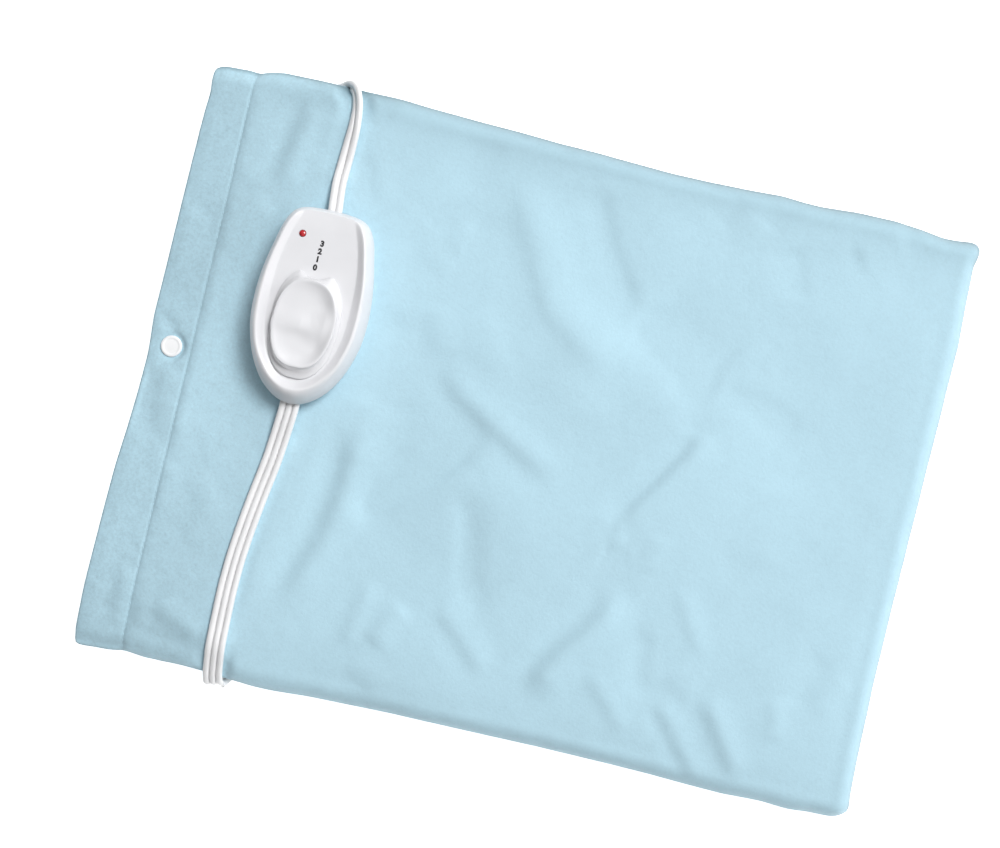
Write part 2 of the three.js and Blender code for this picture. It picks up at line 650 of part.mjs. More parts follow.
let upper = shell([
  [CTRL_SPLIT + GAP, 0], [12, 0.7], [15.5, 1.9], [18.2, 3.4], [20.0, 5.0], [20.8, 6.4], [CTRL_H, 7.6], [CTRL_H, 9.0],
]).subtract(shell([[CTRL_SPLIT - 1, 2.2], [12, 2.9], [14.8, 4.2], [16.6, 6.4]]));
upper = upper.subtract(prism(RECESS, FACE, 30));
for (const [x, y] of PIN) upper = upper.add(post(x, y, CTRL_SPLIT + GAP, 17.4, 3.3));
for (const s of [-1, 1]) upper = upper.add(box(s > 0 ? 10.4 : -12, s > 0 ? 12 : -10.4, -29, 19, 14.3, 17));
for (const [x, y] of PIN) upper = upper.subtract(post(x, y, 5, 15.6, 1.7, 14));
upper = upper
  .subtract(box(-4.4, 4.4, -16, 9.7, 15, 22))
  .subtract(post(-11.7, 34.9, 15, 22, 1.95, 16));
place("controller_upper_housing", upper, WHITE, [0, 0, 0], ctrl);
PIN.forEach(([x, y], k) =>
  place(
    "housing_screw_" + (k + 1),
    turned([[0, 0.5], [2.3, 0.5], [2.6, 0.9], [2.6, 2.1], [1.35, 2.1], [1.35, 14.6], [0.6, 15.2], [0, 15.2]], x, y, 10).subtract(
      box(x - 3, x + 3, y - 0.35, y + 0.35, 0, 1.1),
    ),
    STEEL,
    [0, 0, 0],
    ctrl,
  ),
);

// Slider knob: a raised oval with a dished top, notched at its far end to cradle the digit, and its stem.
const KNOB = mirrored(
  [
    [0, 13.6], [3.5, 14.0], [6.2, 15.4], [8.3, 16.1], [10.8, 14.5], [13.6, 11.1], [15.9, 6.3], [17.3, 0], [17.7, -8], [17.4, -16],
    [16.1, -24], [13.2, -31], [9, -36], [4.5, -38.3], [0, -38.7],
  ],
  36,
);
const TOPOVAL = mirrored(
  [
    [0, 12.5], [5, 11.8], [9.4, 9.4], [12.8, 5.1], [15.1, -1], [15.9, -9], [15.3, -17], [13.2, -24.4], [9.5, -29.8],
    [5, -32.4], [0, -33],
  ],
  36,
);
const mixRing = (a, b, k) => a.map(([x, y], i) => [x + (b[i][0] - x) * k, y + (b[i][1] - y) * k]);
let knob = loft([
  { z: FACE + GAP, points: KNOB },
  { z: FACE + 1.2, points: mixRing(KNOB, TOPOVAL, 0.12) },
  { z: FACE + 3.6, points: mixRing(KNOB, TOPOVAL, 0.7) },
  { z: FACE + 5.0, points: TOPOVAL },
  { z: FACE + 5.4, points: inward(TOPOVAL, 0.8) },
  { z: FACE + 5.1, points: inward(TOPOVAL, 2.2) },
  { z: FACE + 4.3, points: inward(TOPOVAL, 5.5) },
  { z: FACE + 3.9, points: inward(TOPOVAL, 9.5) },
]);
knob = knob.add(box(-4, 4, -15.6, -3.4, 14.0, FACE + 1.5));
place("slider_knob", knob, WHITE, [0, 0, 0], ctrl);
let carrier = box(-10, 10, -19.5, 0.5, 11.9, 16.2).subtract(box(-4.3, 4.3, -15.9, -3.1, 13.7, 17));
for (let k = 0; k < 5; k++)
  carrier = carrier.subtract(
    prism([[9.2, -17.9 + STEP * k], [10.4, -19.1 + STEP * k], [10.4, -16.7 + STEP * k]], 11, 14.1),
  );
carrier = carrier.subtract(box(9.0, 11, -25, 5, 14.0, 17)).subtract(box(-11, -9.0, -25, 5, 14.0, 17));
place("slide_carrier", carrier, DARK, [0, 0, 0], ctrl);
// Detent spring: a leaf beside the carrier, with one bump at its middle.
const spring = prism(
  [[10.5, -27.5], [11.1, -27.5], [11.1, 17.5], [10.5, 17.5], [10.5, -8.0], [10.3, -9.0], [10.3, -10.0], [10.5, -11.0]],
  12.0,
  13.7,
);
place("detent_spring", spring, STEEL, [0, 0, 0], ctrl);
// Contact board with its riveted contacts, and the bridge that the carrier slides over them.
place("contact_board", box(-17, 17, -37.5, 40, 6.0, 7.6), BOARD, [0, 0, 0], ctrl);
place("common_contact", box(-7, -4, -12, 6, 7.9, 8.4), BRASS, [0, 0, 0], ctrl);
for (let k = 1; k <= 3; k++) {
  const y = -9.5 + STEP * k;
  place("contact_" + k, box(4, 7, y - 1.5, y + 1.5, 7.9, 8.4), BRASS, [0, 0, 0], ctrl);
}
const bridgeShape = [
  [-7.2, 8.7], [-4.2, 8.7], [-3.2, 11.0], [3.2, 11.0], [4.2, 8.7], [7.2, 8.7], [7.2, 9.2], [4.55, 9.2], [3.55, 11.6],
  [-3.55, 11.6], [-4.55, 9.2], [-7.2, 9.2],
];
place(
  "bridge_contact",
  prism(bridgeShape, -1.5, 1.5).rotate([90, 0, 0]).translate([0, -9.5, 0]),
  BRASS,
  [0, 0, 0],
  ctrl,
);
place(
  "lamp_lens",
  turned([[0, 15.3], [2.9, 15.3], [2.9, 16.3], [1.65, 16.3], [1.65, 18.7], [1.2, 19.1], [0, 19.3]], -11.7, 34.9, 16),
  RED,
  [0, 0, 0],
  ctrl,
);
place(
  "indicator_lamp",
  turned([[0, 7.9], [2.2, 7.9], [2.2, 12.6], [1.5, 14.2], [0, 14.9]], -11.7, 34.9, 12),
  mat(0xffa060, 0.1),
  [0, 0, 0],
  ctrl,
);
place(
  "lamp_resistor",
  solid(new THREE.CylinderGeometry(1.2, 1.2, 7, 10).rotateZ(Math.PI / 2).translate(9, 33, 9.8))
    .add(box(3.4, 6, 32.7, 33.3, 9.5, 10.1))
    .add(box(12, 14.6, 32.7, 33.3, 9.5, 10.1))
    .add(box(3.4, 4.0, 32.7, 33.3, 7.9, 10.1))
    .add(box(14.0, 14.6, 32.7, 33.3, 7.9, 10.1)),
  mat(0xcdb58a, 0.6),
  [0, 0, 0],
  ctrl,
);
const clamp = (half, y0, y1, cw, ct, z) =>
  box(-half, half, y0, y1, 2.3, 7.8).subtract(
    box(-cw / 2 - GAP, cw / 2 + GAP, y0 - 1, y1 + 1, z - ct / 2 - GAP, z + ct / 2 + GAP),
  );
place("mains_cord_clamp", clamp(7.5, 41.2, 44.2, MAINS.w, MAINS.t, mainsZ), WHITE, [0, 0, 0], ctrl);
place("lead_cord_clamp", clamp(8.6, -43.4, -40.6, LEAD.w, LEAD.t, leadZ), WHITE, [0, 0, 0], ctrl);

// ---------------------------------------------------------------- lead: controller, over the pad's lower edge, under the pad, in at the mouth
const onPad = (x, y, t) => heightAt("cu", 1, x, y) + GAP + t / 2;
const LEAD_PATH = smooth(
  [
    [-122.7, 2.3, CTRL_Z + leadZ * CTRL_K], [-122.7, -5, CTRL_Z + leadZ * CTRL_K], [-122.75, -12.2, CTRL_Z + leadZ * CTRL_K],
    [-123.3, -18.4, 22.6], [-124.3, -28.2, 20.9], [-125.5, -39, onPad(-126, -39, LEAD.t)], [-129.2, -64.9, onPad(-129, -65, LEAD.t)],
    [-131.8, -89.3, onPad(-132, -89, LEAD.t)], [-132.5, -107, onPad(-132, -107, LEAD.t)],
    [-132.2, -125.1, 20.0], [-131.7, -138.2, 20.1], [-131.4, -147, 16.2], [-131.0, -154.6, 11.9], [-130.4, -158.4, 7.6],
    [-129.4, -158.3, 4.2], [-127.0, -155.0, 2.0], [-122.5, -148.6, 1.7], [-112, -137, 1.7], [-95, -129.3, 1.7], [-75, -128, 1.7],
    [-40, -128, 1.7], [0, -128, 1.7], [40, -128, 1.7], [60, -128, 1.7], [78, -123.2, 1.7], [91.2, -110, 1.7], [96, -92, 1.7],
    [91.2, -74, 1.7], [78, -60.8, 1.7], [60, -56, 1.7], [30, -56, 1.7], [-10, -56, 1.7], [-60, -56, 1.7], [-110, -56, 1.7],
    [-145, -56, 1.7], [-162, -56, 1.7], [-178, -60.2, 1.7], [-190.6, -70.5, 1.7], [-196.3, -83, 1.75], [-197, -92, 2.2],
    [-193.6, -103.4, 3.2], [-185, -112, 4.6], [-174, -115, 6.4], [-166, -115, 7.4], [-162.3, -115, 7.5],
  ],
  25,
);
place("controller_lead", sweep(LEAD_PATH, LEAD.t, LEAD.w, 8), CORD);

// ---------------------------------------------------------------- mains cord: controller, over the pad's upper edge, hank under the pad, plug
const spurX = -30; // where the cord joins the hank's outer turn
const MAINS_PATH = smooth(
  [
    [-122.7, 81.2, CTRL_Z + mainsZ * CTRL_K], [-122.75, 92, CTRL_Z + mainsZ * CTRL_K], [-123.4, 98, CTRL_Z + mainsZ * CTRL_K - 0.6],
    [-124.3, 106.5, 20.9], [-124.2, 115, onPad(-124, 115, MAINS.t)], [-123.7, 126, onPad(-124, 126, MAINS.t)],
    [-123.4, 137.5, 20.0], [-124.3, 147.6, 16.0], [-126.4, 156.0, 12.2], [-129.0, 160.3, 8.4], [-131.9, 160.6, 4.9],
    [-134.6, 159.4, 2.6], [-138.5, 156.5, 1.7], [-145, 151.0, 1.55], [-153, 142.6, 1.55], [-158.3, 130, 1.55], [-158.6, 114, 1.55], [-153, 97, 1.55], [-141, 82, 1.55],
    [-122, 68.5, 1.55], [-98, 58.5, 1.55], [-70, 52.2, 1.7], [-45, 49.7, 2.1], [spurX - GAP, HANK.y + HANK.r, HANK.z + MAINS.t / 2],
  ],
  16,
);
place("mains_cord", sweep(MAINS_PATH, MAINS.t, MAINS.w, 8), CORD);
{
  const { x0, x1, y, r, pitch, z } = HANK;
  const h = MAINS.w / 2;
  const yl = y - pitch / 2; // centre of the half turns at the -X end
  const outer = [
    [spurX, y + r - h], [-5 - Math.sqrt((r - pitch / 2 + h) ** 2 - (y + r - h - yl) ** 2 > 0 ? (r - pitch / 2 + h) ** 2 - (y + r - h - yl) ** 2 : 0), y + r - h],
    ...arc(x0, yl, r - pitch / 2 + h, 92, 270, 16),
    ...arc(x1, y, r + h, -90, 90, 16),
    [spurX, y + r + h],
  ];
  const rIn = r - 3 * pitch; // innermost half turn at the +X end
  const inner = [
    ...arc(x0, yl, r - 2 * pitch - pitch / 2 - h, 90, 270, 12),
    [x1 - 7, y - (r - 2 * pitch) + h],
    [x1 - 7, y - rIn + h],
    ...arc(x1, y, rIn - h, -90, 90, 12),
  ];
  place("mains_cord_hank", prism(outer, z, z + MAINS.t, [inner]), CORD);
  const tie = (yc, half, xc) =>
    box(xc - 4, xc + 4, yc - half - 0.9, yc + half + 0.9, 0, 4.6).subtract(
      box(xc - 5, xc + 5, yc - half - 0.35, yc + half + 0.35, 0.5, 4.1),
    );
  const ta = y + r + h,
    tb = y + rIn - h;
  place("hank_tie_1", tie((ta + tb) / 2, (ta - tb) / 2, 50), DARK);
  const ba = y - (r - 2 * pitch) + h,
    bb = y - r - h;
  place("hank_tie_2", tie((ba + bb) / 2, (ba - bb) / 2, 50), DARK);
  // the tail from the innermost turn to the plug
  const yr = y - rIn,
    zc = z + MAINS.t / 2,
    PLUG_Y = 3,
    PLUG_Z = 4.95;
  const tail = [];
  for (let k = 0; k <= 12; k++) {
    const u = k / 12,
      e = u * u * u * (10 - 15 * u + 6 * u * u);
    tail.push([x1 - 7 - GAP - u * (x1 - 7 - GAP - 62.3), yr + (PLUG_Y - yr) * e, zc + (PLUG_Z - zc) * e]);
  }
  place("mains_cord_tail", sweep(tail, MAINS.t, MAINS.w, 8), CORD);
  // plug: body with its tapered strain relief, and two blades
  const sec = (x, hz, hy, c) => ({
    z: x,
    points: [
      [-hz, -hy + c], [-hz + c, -hy], [hz - c, -hy], [hz, -hy + c], [hz, hy - c], [hz - c, hy], [-hz + c, hy], [-hz, hy - c],
    ],
  });
  place(
    "plug_body",
    loft([
      sec(-62, 2.1, 4.3, 0.6), sec(-50, 2.7, 4.9, 0.8), sec(-40, 3.4, 5.8, 1), sec(-37, 4.3, 9.0, 1.6),
      sec(-33, 4.8, 11.4, 2), sec(-20, 4.8, 12, 2), sec(-15, 4.6, 11.6, 1.6), sec(-14, 4.3, 11.2, 1.4),
    ])
      .rotate([0, -90, 0])
      .translate([0, PLUG_Y, PLUG_Z]),
    CORD,
  );
  for (const [k, s] of [[1, -1], [2, 1]]) {
    const w = k === 1 ? 3.15 : 3.6;
    const yb = PLUG_Y + s * 6.35;
    place(
      "plug_blade_" + k,
      box(-3.2, 13.7, yb - 0.75, yb + 0.75, PLUG_Z - w, PLUG_Z + w).subtract(
        solid(new THREE.CylinderGeometry(1.6, 1.6, 4, 12).translate(1, yb, PLUG_Z)),
      ),
      STEEL,
    );
  }
}

group.position.set(CENTRE[0], CENTRE[1], 0);
export default group;
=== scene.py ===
# Heating pad with an in-line slide controller: its looks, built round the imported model.
# Lengths are in millimetres in the pad's own frame (X along its long side, mouth at -X) until `metres` turns them
# into the model's frame.
import math

import bmesh
import bpy
import numpy as np
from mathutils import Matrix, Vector


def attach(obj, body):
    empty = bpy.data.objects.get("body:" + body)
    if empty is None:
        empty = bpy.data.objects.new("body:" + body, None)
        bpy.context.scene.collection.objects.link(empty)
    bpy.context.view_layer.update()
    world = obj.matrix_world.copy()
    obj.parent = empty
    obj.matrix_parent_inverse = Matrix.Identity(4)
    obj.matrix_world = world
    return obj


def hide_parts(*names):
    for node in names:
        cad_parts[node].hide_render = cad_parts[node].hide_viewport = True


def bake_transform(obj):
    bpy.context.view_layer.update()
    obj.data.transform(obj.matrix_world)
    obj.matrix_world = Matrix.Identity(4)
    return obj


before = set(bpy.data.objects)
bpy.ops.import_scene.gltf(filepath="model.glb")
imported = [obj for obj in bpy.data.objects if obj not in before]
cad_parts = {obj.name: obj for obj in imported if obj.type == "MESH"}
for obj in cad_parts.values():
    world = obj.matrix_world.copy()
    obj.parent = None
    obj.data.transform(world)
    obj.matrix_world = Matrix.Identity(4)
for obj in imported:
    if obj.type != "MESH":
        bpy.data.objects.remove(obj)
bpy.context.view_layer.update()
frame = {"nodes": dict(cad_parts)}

MM = 0.001
SHIFT = np.array([0.9, -0.75, 0.0])  # from the pad's own frame to the model's
CTRL = np.array([-122.7, 41.9, 18.3])  # controller's origin, on its underside
CTRL_K = 0.97
SEAM_X = -181.2  # stitch line of the hem
SNAP = (-192.0, 6.0)


def metres(points):
    return (np.asarray(points, float) + SHIFT) * MM


def on_controller(points):
    """From the controller's own drawing to the model's frame."""
    return metres(np.asarray(points, float) * CTRL_K + CTRL)


# ------------------------------------------------------------------ camera
CAM_XY = (-16.5, 5.9)
CAM_TURN = math.radians(13.3)
SCALE = 0.5216  # mm to a pixel of the photograph, at the height REF_Z
REF_Z = 4.0
LENS = 50.0
CAM_D = 1000 * SCALE * LENS / 36.0

camera_data = bpy.data.cameras.new("camera")
camera_data.lens = LENS
camera_data.sensor_width = 36.0
camera_data.sensor_fit = "HORIZONTAL"
camera_data.clip_start = 0.01
camera = bpy.data.objects.new("camera", camera_data)
camera.location = metres((CAM_XY[0], CAM_XY[1], REF_Z + CAM_D))
camera.rotation_euler = (0, 0, CAM_TURN)
bpy.context.scene.collection.objects.link(camera)
bpy.context.scene.camera = camera
RIGHT_WAY = np.array([math.cos(CAM_TURN), math.sin(CAM_TURN)])  # to the photograph's right
UP_WAY = np.array([-math.sin(CAM_TURN), math.cos(CAM_TURN)])  # to its top


def seen_at(x, y, z=17.5):
    """Where on the pad a thing lies that is seen at this pixel of the photograph, if it is z high."""
    k = SCALE * (1 - (z - REF_Z) / CAM_D)
    return np.array(CAM_XY) + k * ((x - 500) * RIGHT_WAY - (y - 424) * UP_WAY)


# ------------------------------------------------------------------ helpers
def ramp(a, b, x):
    t = np.clip((np.asarray(x, float) - a) / (b - a), 0, 1)
    return t * t * (3 - 2 * t)


def table(rows):
    xs, ys = zip(*rows)
    return lambda v: np.interp(v, xs, ys)


def softened(rows, sigma):
    """A table read through a soft window, so that it has no corners."""
    xs, ys = zip(*rows)
    fine = np.arange(xs[0] - 30, xs[-1] + 30, 0.5)
    raw = np.interp(fine, xs, ys)
    k = np.arange(-int(4 * sigma), int(4 * sigma) + 0.5, 0.5)
    w = np.exp(-0.5 * (k / sigma) ** 2)
    w /= w.sum()
    pad = len(k) // 2
    smooth = np.convolve(np.pad(raw, pad, mode="edge"), w, mode="valid")[: len(fine)]
    return lambda v: np.interp(v, fine, smooth)


def waves(seed, x, y, length, count=26):
    """An uneven field of about unit height, with swells about `length` across."""
    rng = np.random.default_rng(seed)
    total = np.zeros_like(x)
    for _ in range(count):
        angle, phase = rng.uniform(0, 2 * math.pi, 2)
        k = math.pi / length * rng.uniform(0.7, 1.3)
        total += np.sin(k * (x * math.cos(angle) + y * math.sin(angle)) + phase)
    return total / math.sqrt(count / 2)


def resampled(points, step, closed=False):
    points = np.asarray(points, float)
    if closed:
        points = np.vstack([points, points[:1]])
    s = np.concatenate([[0], np.cumsum(np.linalg.norm(np.diff(points, axis=0), axis=1))])
    n = max(2, int(round(s[-1] / step))) if not isinstance(step, str) else int(step)
    t = np.linspace(0, s[-1], n + 1)
    if closed:
        t = t[:-1]
    return np.stack([np.interp(t, s, points[:, k]) for k in range(points.shape[1])], 1)


def curve_through(points, closed=False, fine=24):
    """A close row of points along a centripetal Catmull-Rom curve through the given ones."""
    P = np.asarray(points, float)
    if closed:
        P = np.vstack([P[-1:], P, P[:2]])
    else:
        P = np.vstack([2 * P[0] - P[1], P, 2 * P[-1] - P[-2]])
    t = np.linspace(0, 1, fine, endpoint=False)[:, None]
    rows = []
    for i in range(1, len(P) - 2):
        p0, p1, p2, p3 = P[i - 1 : i + 3]
        d0, d1, d2 = (max(np.linalg.norm(b - a), 1e-6) ** 0.5 for a, b in ((p0, p1), (p1, p2), (p2, p3)))
        m1 = ((p1 - p0) / d0 - (p2 - p0) / (d0 + d1) + (p2 - p1) / d1) * d1
        m2 = ((p2 - p1) / d1 - (p3 - p1) / (d1 + d2) + (p3 - p2) / d2) * d1
        rows.append(
            p1 * (2 * t**3 - 3 * t**2 + 1) + m1 * (t**3 - 2 * t**2 + t) + p2 * (3 * t**2 - 2 * t**3) + m2 * (t**3 - t**2)
        )
    if not closed:
        rows.append(P[-2][None])
    return np.vstack(rows)


def mesh_object(name, verts, faces, sharp=None, recalc=False):
    """A smooth-shaded mesh in the model's frame, from points in metres."""
    me = bpy.data.meshes.new(name)
    me.from_pydata(np.asarray(verts, float).tolist(), [], [list(map(int, f)) for f in faces])
    me.update()
    if recalc:
        bm = bmesh.new()
        bm.from_mesh(me)
        bmesh.ops.recalc_face_normals(bm, faces=bm.faces)
        bm.to_mesh(me)
        bm.free()
    me.polygons.foreach_set("use_smooth", np.ones(len(me.polygons), bool))
    if sharp is not None:
        me.set_sharp_from_angle(angle=math.radians(sharp))
    ob = bpy.data.objects.new(name, me)
    bpy.context.scene.collection.objects.link(ob)
    return ob


def ring_faces(count, n, closed_path=False):
    """Quads between `count` rings of n points each, one after another."""
    faces = []
    for i in range(count if closed_path else count - 1):
        a, b = i * n, ((i + 1) % count) * n
        for k in range(n):
            q = (k + 1) % n
            faces.append((a + k, a + q, b + q, b + k))
    return faces


def rings_object(name, rings, to_model, sharp=None, caps=True):
    """A solid from rings of equally many points (each N x 3), with its two ends closed."""
    n = len(rings[0])
    faces = ring_faces(len(rings), n)
    if caps:
        faces.append(tuple(reversed(range(n))))
        faces.append(tuple(range((len(rings) - 1) * n, len(rings) * n)))
    return mesh_object(name, to_model(np.vstack(rings)), faces, sharp, recalc=True)


def turned(name, profile, x, y, to_model, n=72, sharp=35):
    """A turned piece about an upright axis: profile of (radius, height) from the axis out and back to it."""
    angles = np.linspace(0, 2 * math.pi, n, endpoint=False)
    verts, index = [], []
    for r, z in profile:
        if r < 1e-6:
            index.append([len(verts)])
            verts.append((x, y, z))
        else:
            index.append(list(range(len(verts), len(verts) + n)))
            verts += [(x + r * math.cos(a), y + r * math.sin(a), z) for a in angles]
    faces = []
    pairs = list(zip(index, index[1:]))
    if profile[0][0] > 1e-6:
        pairs.append((index[-1], index[0]))
    for a, b in pairs:
        for k in range(n):
            q = (k + 1) % n
            if len(a) == 1 and len(b) == 1:
                continue
            if len(a) == 1:
                faces.append((a[0], b[q], b[k]))
            elif len(b) == 1:
                faces.append((a[k], a[q], b[0]))
            else:
                faces.append((a[k], a[q], b[q], b[k]))
    return mesh_object(name, to_model(verts), faces, sharp, recalc=True)


def rounded(points, radius, steps=5):
    """A profile or outline with its inner corners turned into arcs of at most `radius`."""
    P = [np.array(p, float) for p in points]
    out = [P[0]]
    for a, b, c in zip(P, P[1:], P[2:]):
        u, v = a - b, c - b
        lu, lv = np.linalg.norm(u), np.linalg.norm(v)
        r = min(radius, 0.45 * lu, 0.45 * lv)
        p, q = b + u / lu * r, b + v / lv * r
        for t in np.linspace(0, 1, steps):
            out.append((1 - t) ** 2 * p + 2 * t * (1 - t) * b + t**2 * q)
    out.append(P[-1])
    return out


def block(x0, x1, y0, y1, z0, z1):
    v = [(x, y, z) for z in (z0, z1) for x, y in ((x0, y0), (x1, y0), (x1, y1), (x0, y1))]
    f = [(3, 2, 1, 0), (4, 5, 6, 7), (0, 1, 5, 4), (1, 2, 6, 5), (2, 3, 7, 6), (3, 0, 4, 7)]
    return v, f


def post(x, y, z0, z1, r, n=40):
    a = np.linspace(0, 2 * math.pi, n, endpoint=False)
    v = [(x + r * math.cos(t), y + r * math.sin(t), z) for z in (z0, z1) for t in a]
    f = [tuple(reversed(range(n))), tuple(range(n, 2 * n))]
    f += [(k, (k + 1) % n, n + (k + 1) % n, n + k) for k in range(n)]
    return v, f


def carved(ob, shapes, operation, to_model):
    """ob with these separate simple solids taken from it or added to it."""
    verts, faces = [], []
    for v, f in shapes:
        faces += [tuple(i + len(verts) for i in face) for face in f]
        verts += list(v)
    tool = mesh_object("tool", to_model(verts), faces)
    m = ob.modifiers.new("shape", "BOOLEAN")
    m.operation = operation
    m.solver = "EXACT"
    m.object = tool
    bpy.context.view_layer.update()
    me = bpy.data.meshes.new_from_object(ob.evaluated_get(bpy.context.evaluated_depsgraph_get()))
    ob.modifiers.clear()
    ob.data = me
    me.materials.clear()
    bpy.data.objects.remove(tool)
    me.polygons.foreach_set("use_smooth", np.ones(len(me.polygons), bool))
    me.set_sharp_from_angle(angle=math.radians(34))
    return ob


# ------------------------------------------------------------------ cords
def level_frames(path, roll=None):
    """Across and up directions along a flat cord: across stays level, and holds its way where the cord runs steeply.

    roll turns the cord about its own line, by so many radians at each point of the path.
    """
    t = np.gradient(path, axis=0)
    t /= np.linalg.norm(t, axis=1)[:, None]
    across, last = [], None
    for tan in t:
        w = np.array([-tan[1], tan[0], 0.0])
        level = np.linalg.norm(w)
        w = w / level if level > 1e-6 else last
        if last is not None:
            if w @ last < 0:
                w = -w
            w = last + (w - last) * min(max((level - 0.35) / 0.4, 0), 1)
        w = w - tan * (w @ tan)
        w /= np.linalg.norm(w)
        across.append(w)
        last = w
    across = np.array(across)
    up = np.cross(across, t)
    if roll is not None:
        c, s = np.cos(roll)[:, None], np.sin(roll)[:, None]
        across, up = across * c + up * s, up * c - across * s
    return across, up


def cores(n, rx, ry, web, m=2.6, k=9):
    """The section of a flat cord of n cores side by side, as (across, up) points."""
    a = math.asin((web / ry) ** (m / 2))
    half = []
    for c in range(n):
        y0 = rx * (n - 1 - 2 * c)
        for th in np.linspace(0 if c == 0 else a, math.pi if c == n - 1 else math.pi - a, k):
            co, si = math.cos(th), math.sin(th)
            half.append((y0 + rx * math.copysign(abs(co) ** (2 / m), co), ry * abs(si) ** (2 / m)))
    return np.array(half + [(y, -h) for y, h in reversed(half[1:-1])])


def flat_cord(name, path, section, roll=None):
    across, up = level_frames(path, roll)
    rings = path[:, None, :] + section[None, :, :1] * across[:, None, :] + section[None, :, 1:] * up[:, None, :]
    return rings_object(name, list(rings), metres, sharp=55)


LEAD_ROUTE = [
    [-122.7, 2.3, 23.54], [-122.7, -5, 23.54], [-122.75, -12.2, 23.54], [-123.3, -18.4, 22.6], [-124.3, -28.2, 20.9],
    [-125.5, -39, 19.85], [-129.2, -64.9, 19.85], [-131.8, -89.3, 19.85], [-132.5, -107, 19.85], [-132.2, -125.1, 20.0],
    [-131.7, -138.2, 20.1], [-131.4, -147, 16.2], [-131.0, -154.6, 11.9], [-130.4, -158.4, 7.6], [-129.4, -158.3, 4.2],
    [-127, -155, 2.0], [-122.5, -148.6, 1.7], [-112, -137, 1.7], [-95, -129.3, 1.7], [-75, -128, 1.7], [-40, -128, 1.7],
    [0, -128, 1.7], [40, -128, 1.7], [60, -128, 1.7], [78, -123.2, 1.7], [91.2, -110, 1.7], [96, -92, 1.7],
    [91.2, -74, 1.7], [78, -60.8, 1.7], [60, -56, 1.7], [30, -56, 1.7], [-10, -56, 1.7], [-60, -56, 1.7],
    [-110, -56, 1.7], [-145, -56, 1.7], [-162, -56, 1.7], [-178, -60.2, 1.7], [-190.6, -70.5, 1.7], [-196.3, -83, 1.75],
    [-197, -92, 2.2], [-193.6, -103.4, 3.2], [-185, -112, 4.6], [-174, -115, 6.4], [-166, -115, 7.4], [-162.3, -115, 7.5],
]
MAINS_ROUTE = [
    [-122.7, 81.2, 23.54], [-122.75, 92, 23.54], [-123.4, 98, 22.9], [-124.3, 106.5, 20.9], [-124.2, 115, 19.75],
    [-123.7, 126, 19.7], [-123.5, 137.5, 19.6], [-124.9, 148, 16.4], [-127.6, 154.9, 12.4], [-130.6, 157.9, 8.4],
    [-133.2, 158.2, 4.9], [-135.6, 157.2, 2.7], [-139, 155.2, 1.75], [-145, 151, 1.55], [-153, 142.6, 1.55],
    [-158.3, 130, 1.55], [-158.6, 114, 1.55], [-153, 97, 1.55], [-141, 82, 1.55], [-122, 68.5, 1.55], [-98, 58.5, 1.55],
    [-70, 52.2, 1.7], [-45, 49.7, 2.1], [-30.3, 49.4, 2.3],
]
HANK = dict(x0=-5.0, x1=105.0, y=10.0, r=39.4, pitch=7.7, z=2.3)
PLUG_Y, PLUG_Z = 3.0, 4.95
MAINS_TURN = 1.0


def half_turn(cx, cy, r, a0, a1, z):
    a = np.radians(np.linspace(a0, a1, max(14, int(abs(r) * abs(a1 - a0) / 57.3 / 2.5))))
    return [(cx + r * math.cos(t), cy + r * math.sin(t), z) for t in a]


def mains_route():
    h = HANK
    points = [tuple(p) for p in curve_through(MAINS_ROUTE)]
    for k in range(4):
        r = h["r"] - h["pitch"] * k
        points.append((h["x0"], h["y"] + r, h["z"]))
        points += half_turn(h["x1"], h["y"], r, 90, -90, h["z"])
        if k < 3:
            points.append((h["x0"], h["y"] - r, h["z"]))
            points += half_turn(h["x0"], h["y"] - h["pitch"] / 2, r - h["pitch"] / 2, -90, -270, h["z"])
    start = (97.7, h["y"] - (h["r"] - 3 * h["pitch"]), h["z"])
    for u in np.linspace(0, 1, 30):
        e = u**3 * (10 - 15 * u + 6 * u * u)
        points.append((start[0] - u * (start[0] - 62.1), start[1] + (PLUG_Y - start[1]) * e, h["z"] + (PLUG_Z - h["z"]) * e))
    keep = [points[0]]
    for p in points[1:]:
        if math.dist(p, keep[-1]) > 0.05:
            keep.append(p)
    return resampled(keep, 2.0)


mains_path = mains_route()
lead_path = resampled(curve_through(LEAD_ROUTE), 2.0)
# Where the mains cord goes round the pad's upper edge it turns partly onto its left-hand edge.
mains_bed = mains_path.copy()
mains_s = np.concatenate([[0], np.cumsum(np.linalg.norm(np.diff(mains_path, axis=0), axis=1))])
mains_roll = math.radians(56) * ramp(28, 76, mains_s) * (1 - ramp(82, 104, mains_s))
mains_path[:, 2] += 2.2 * np.sin(mains_roll) * ramp(3, 14, mains_path[:, 2])
# and while it is still turned it rests on its lower edge
edge_up = np.maximum(0, 3.75 * np.sin(mains_roll) + 1.5 * np.cos(mains_roll) + 0.04 - mains_path[:, 2]) * (mains_roll > 1e-4)
edge_up = np.max([np.roll(edge_up, k) for k in range(-4, 5)], axis=0)
bell = np.hanning(11)[1:-1]
mains_path[:, 2] += np.convolve(edge_up, bell / bell.sum(), "same")
mains = flat_cord("mains_flex", mains_path, cores(2, 1.85, 1.5, 0.42, 2.3), MAINS_TURN * mains_roll)
lead = flat_cord("lead_flex", lead_path, cores(3, 1.7, 1.65, 0.42, 2.3))


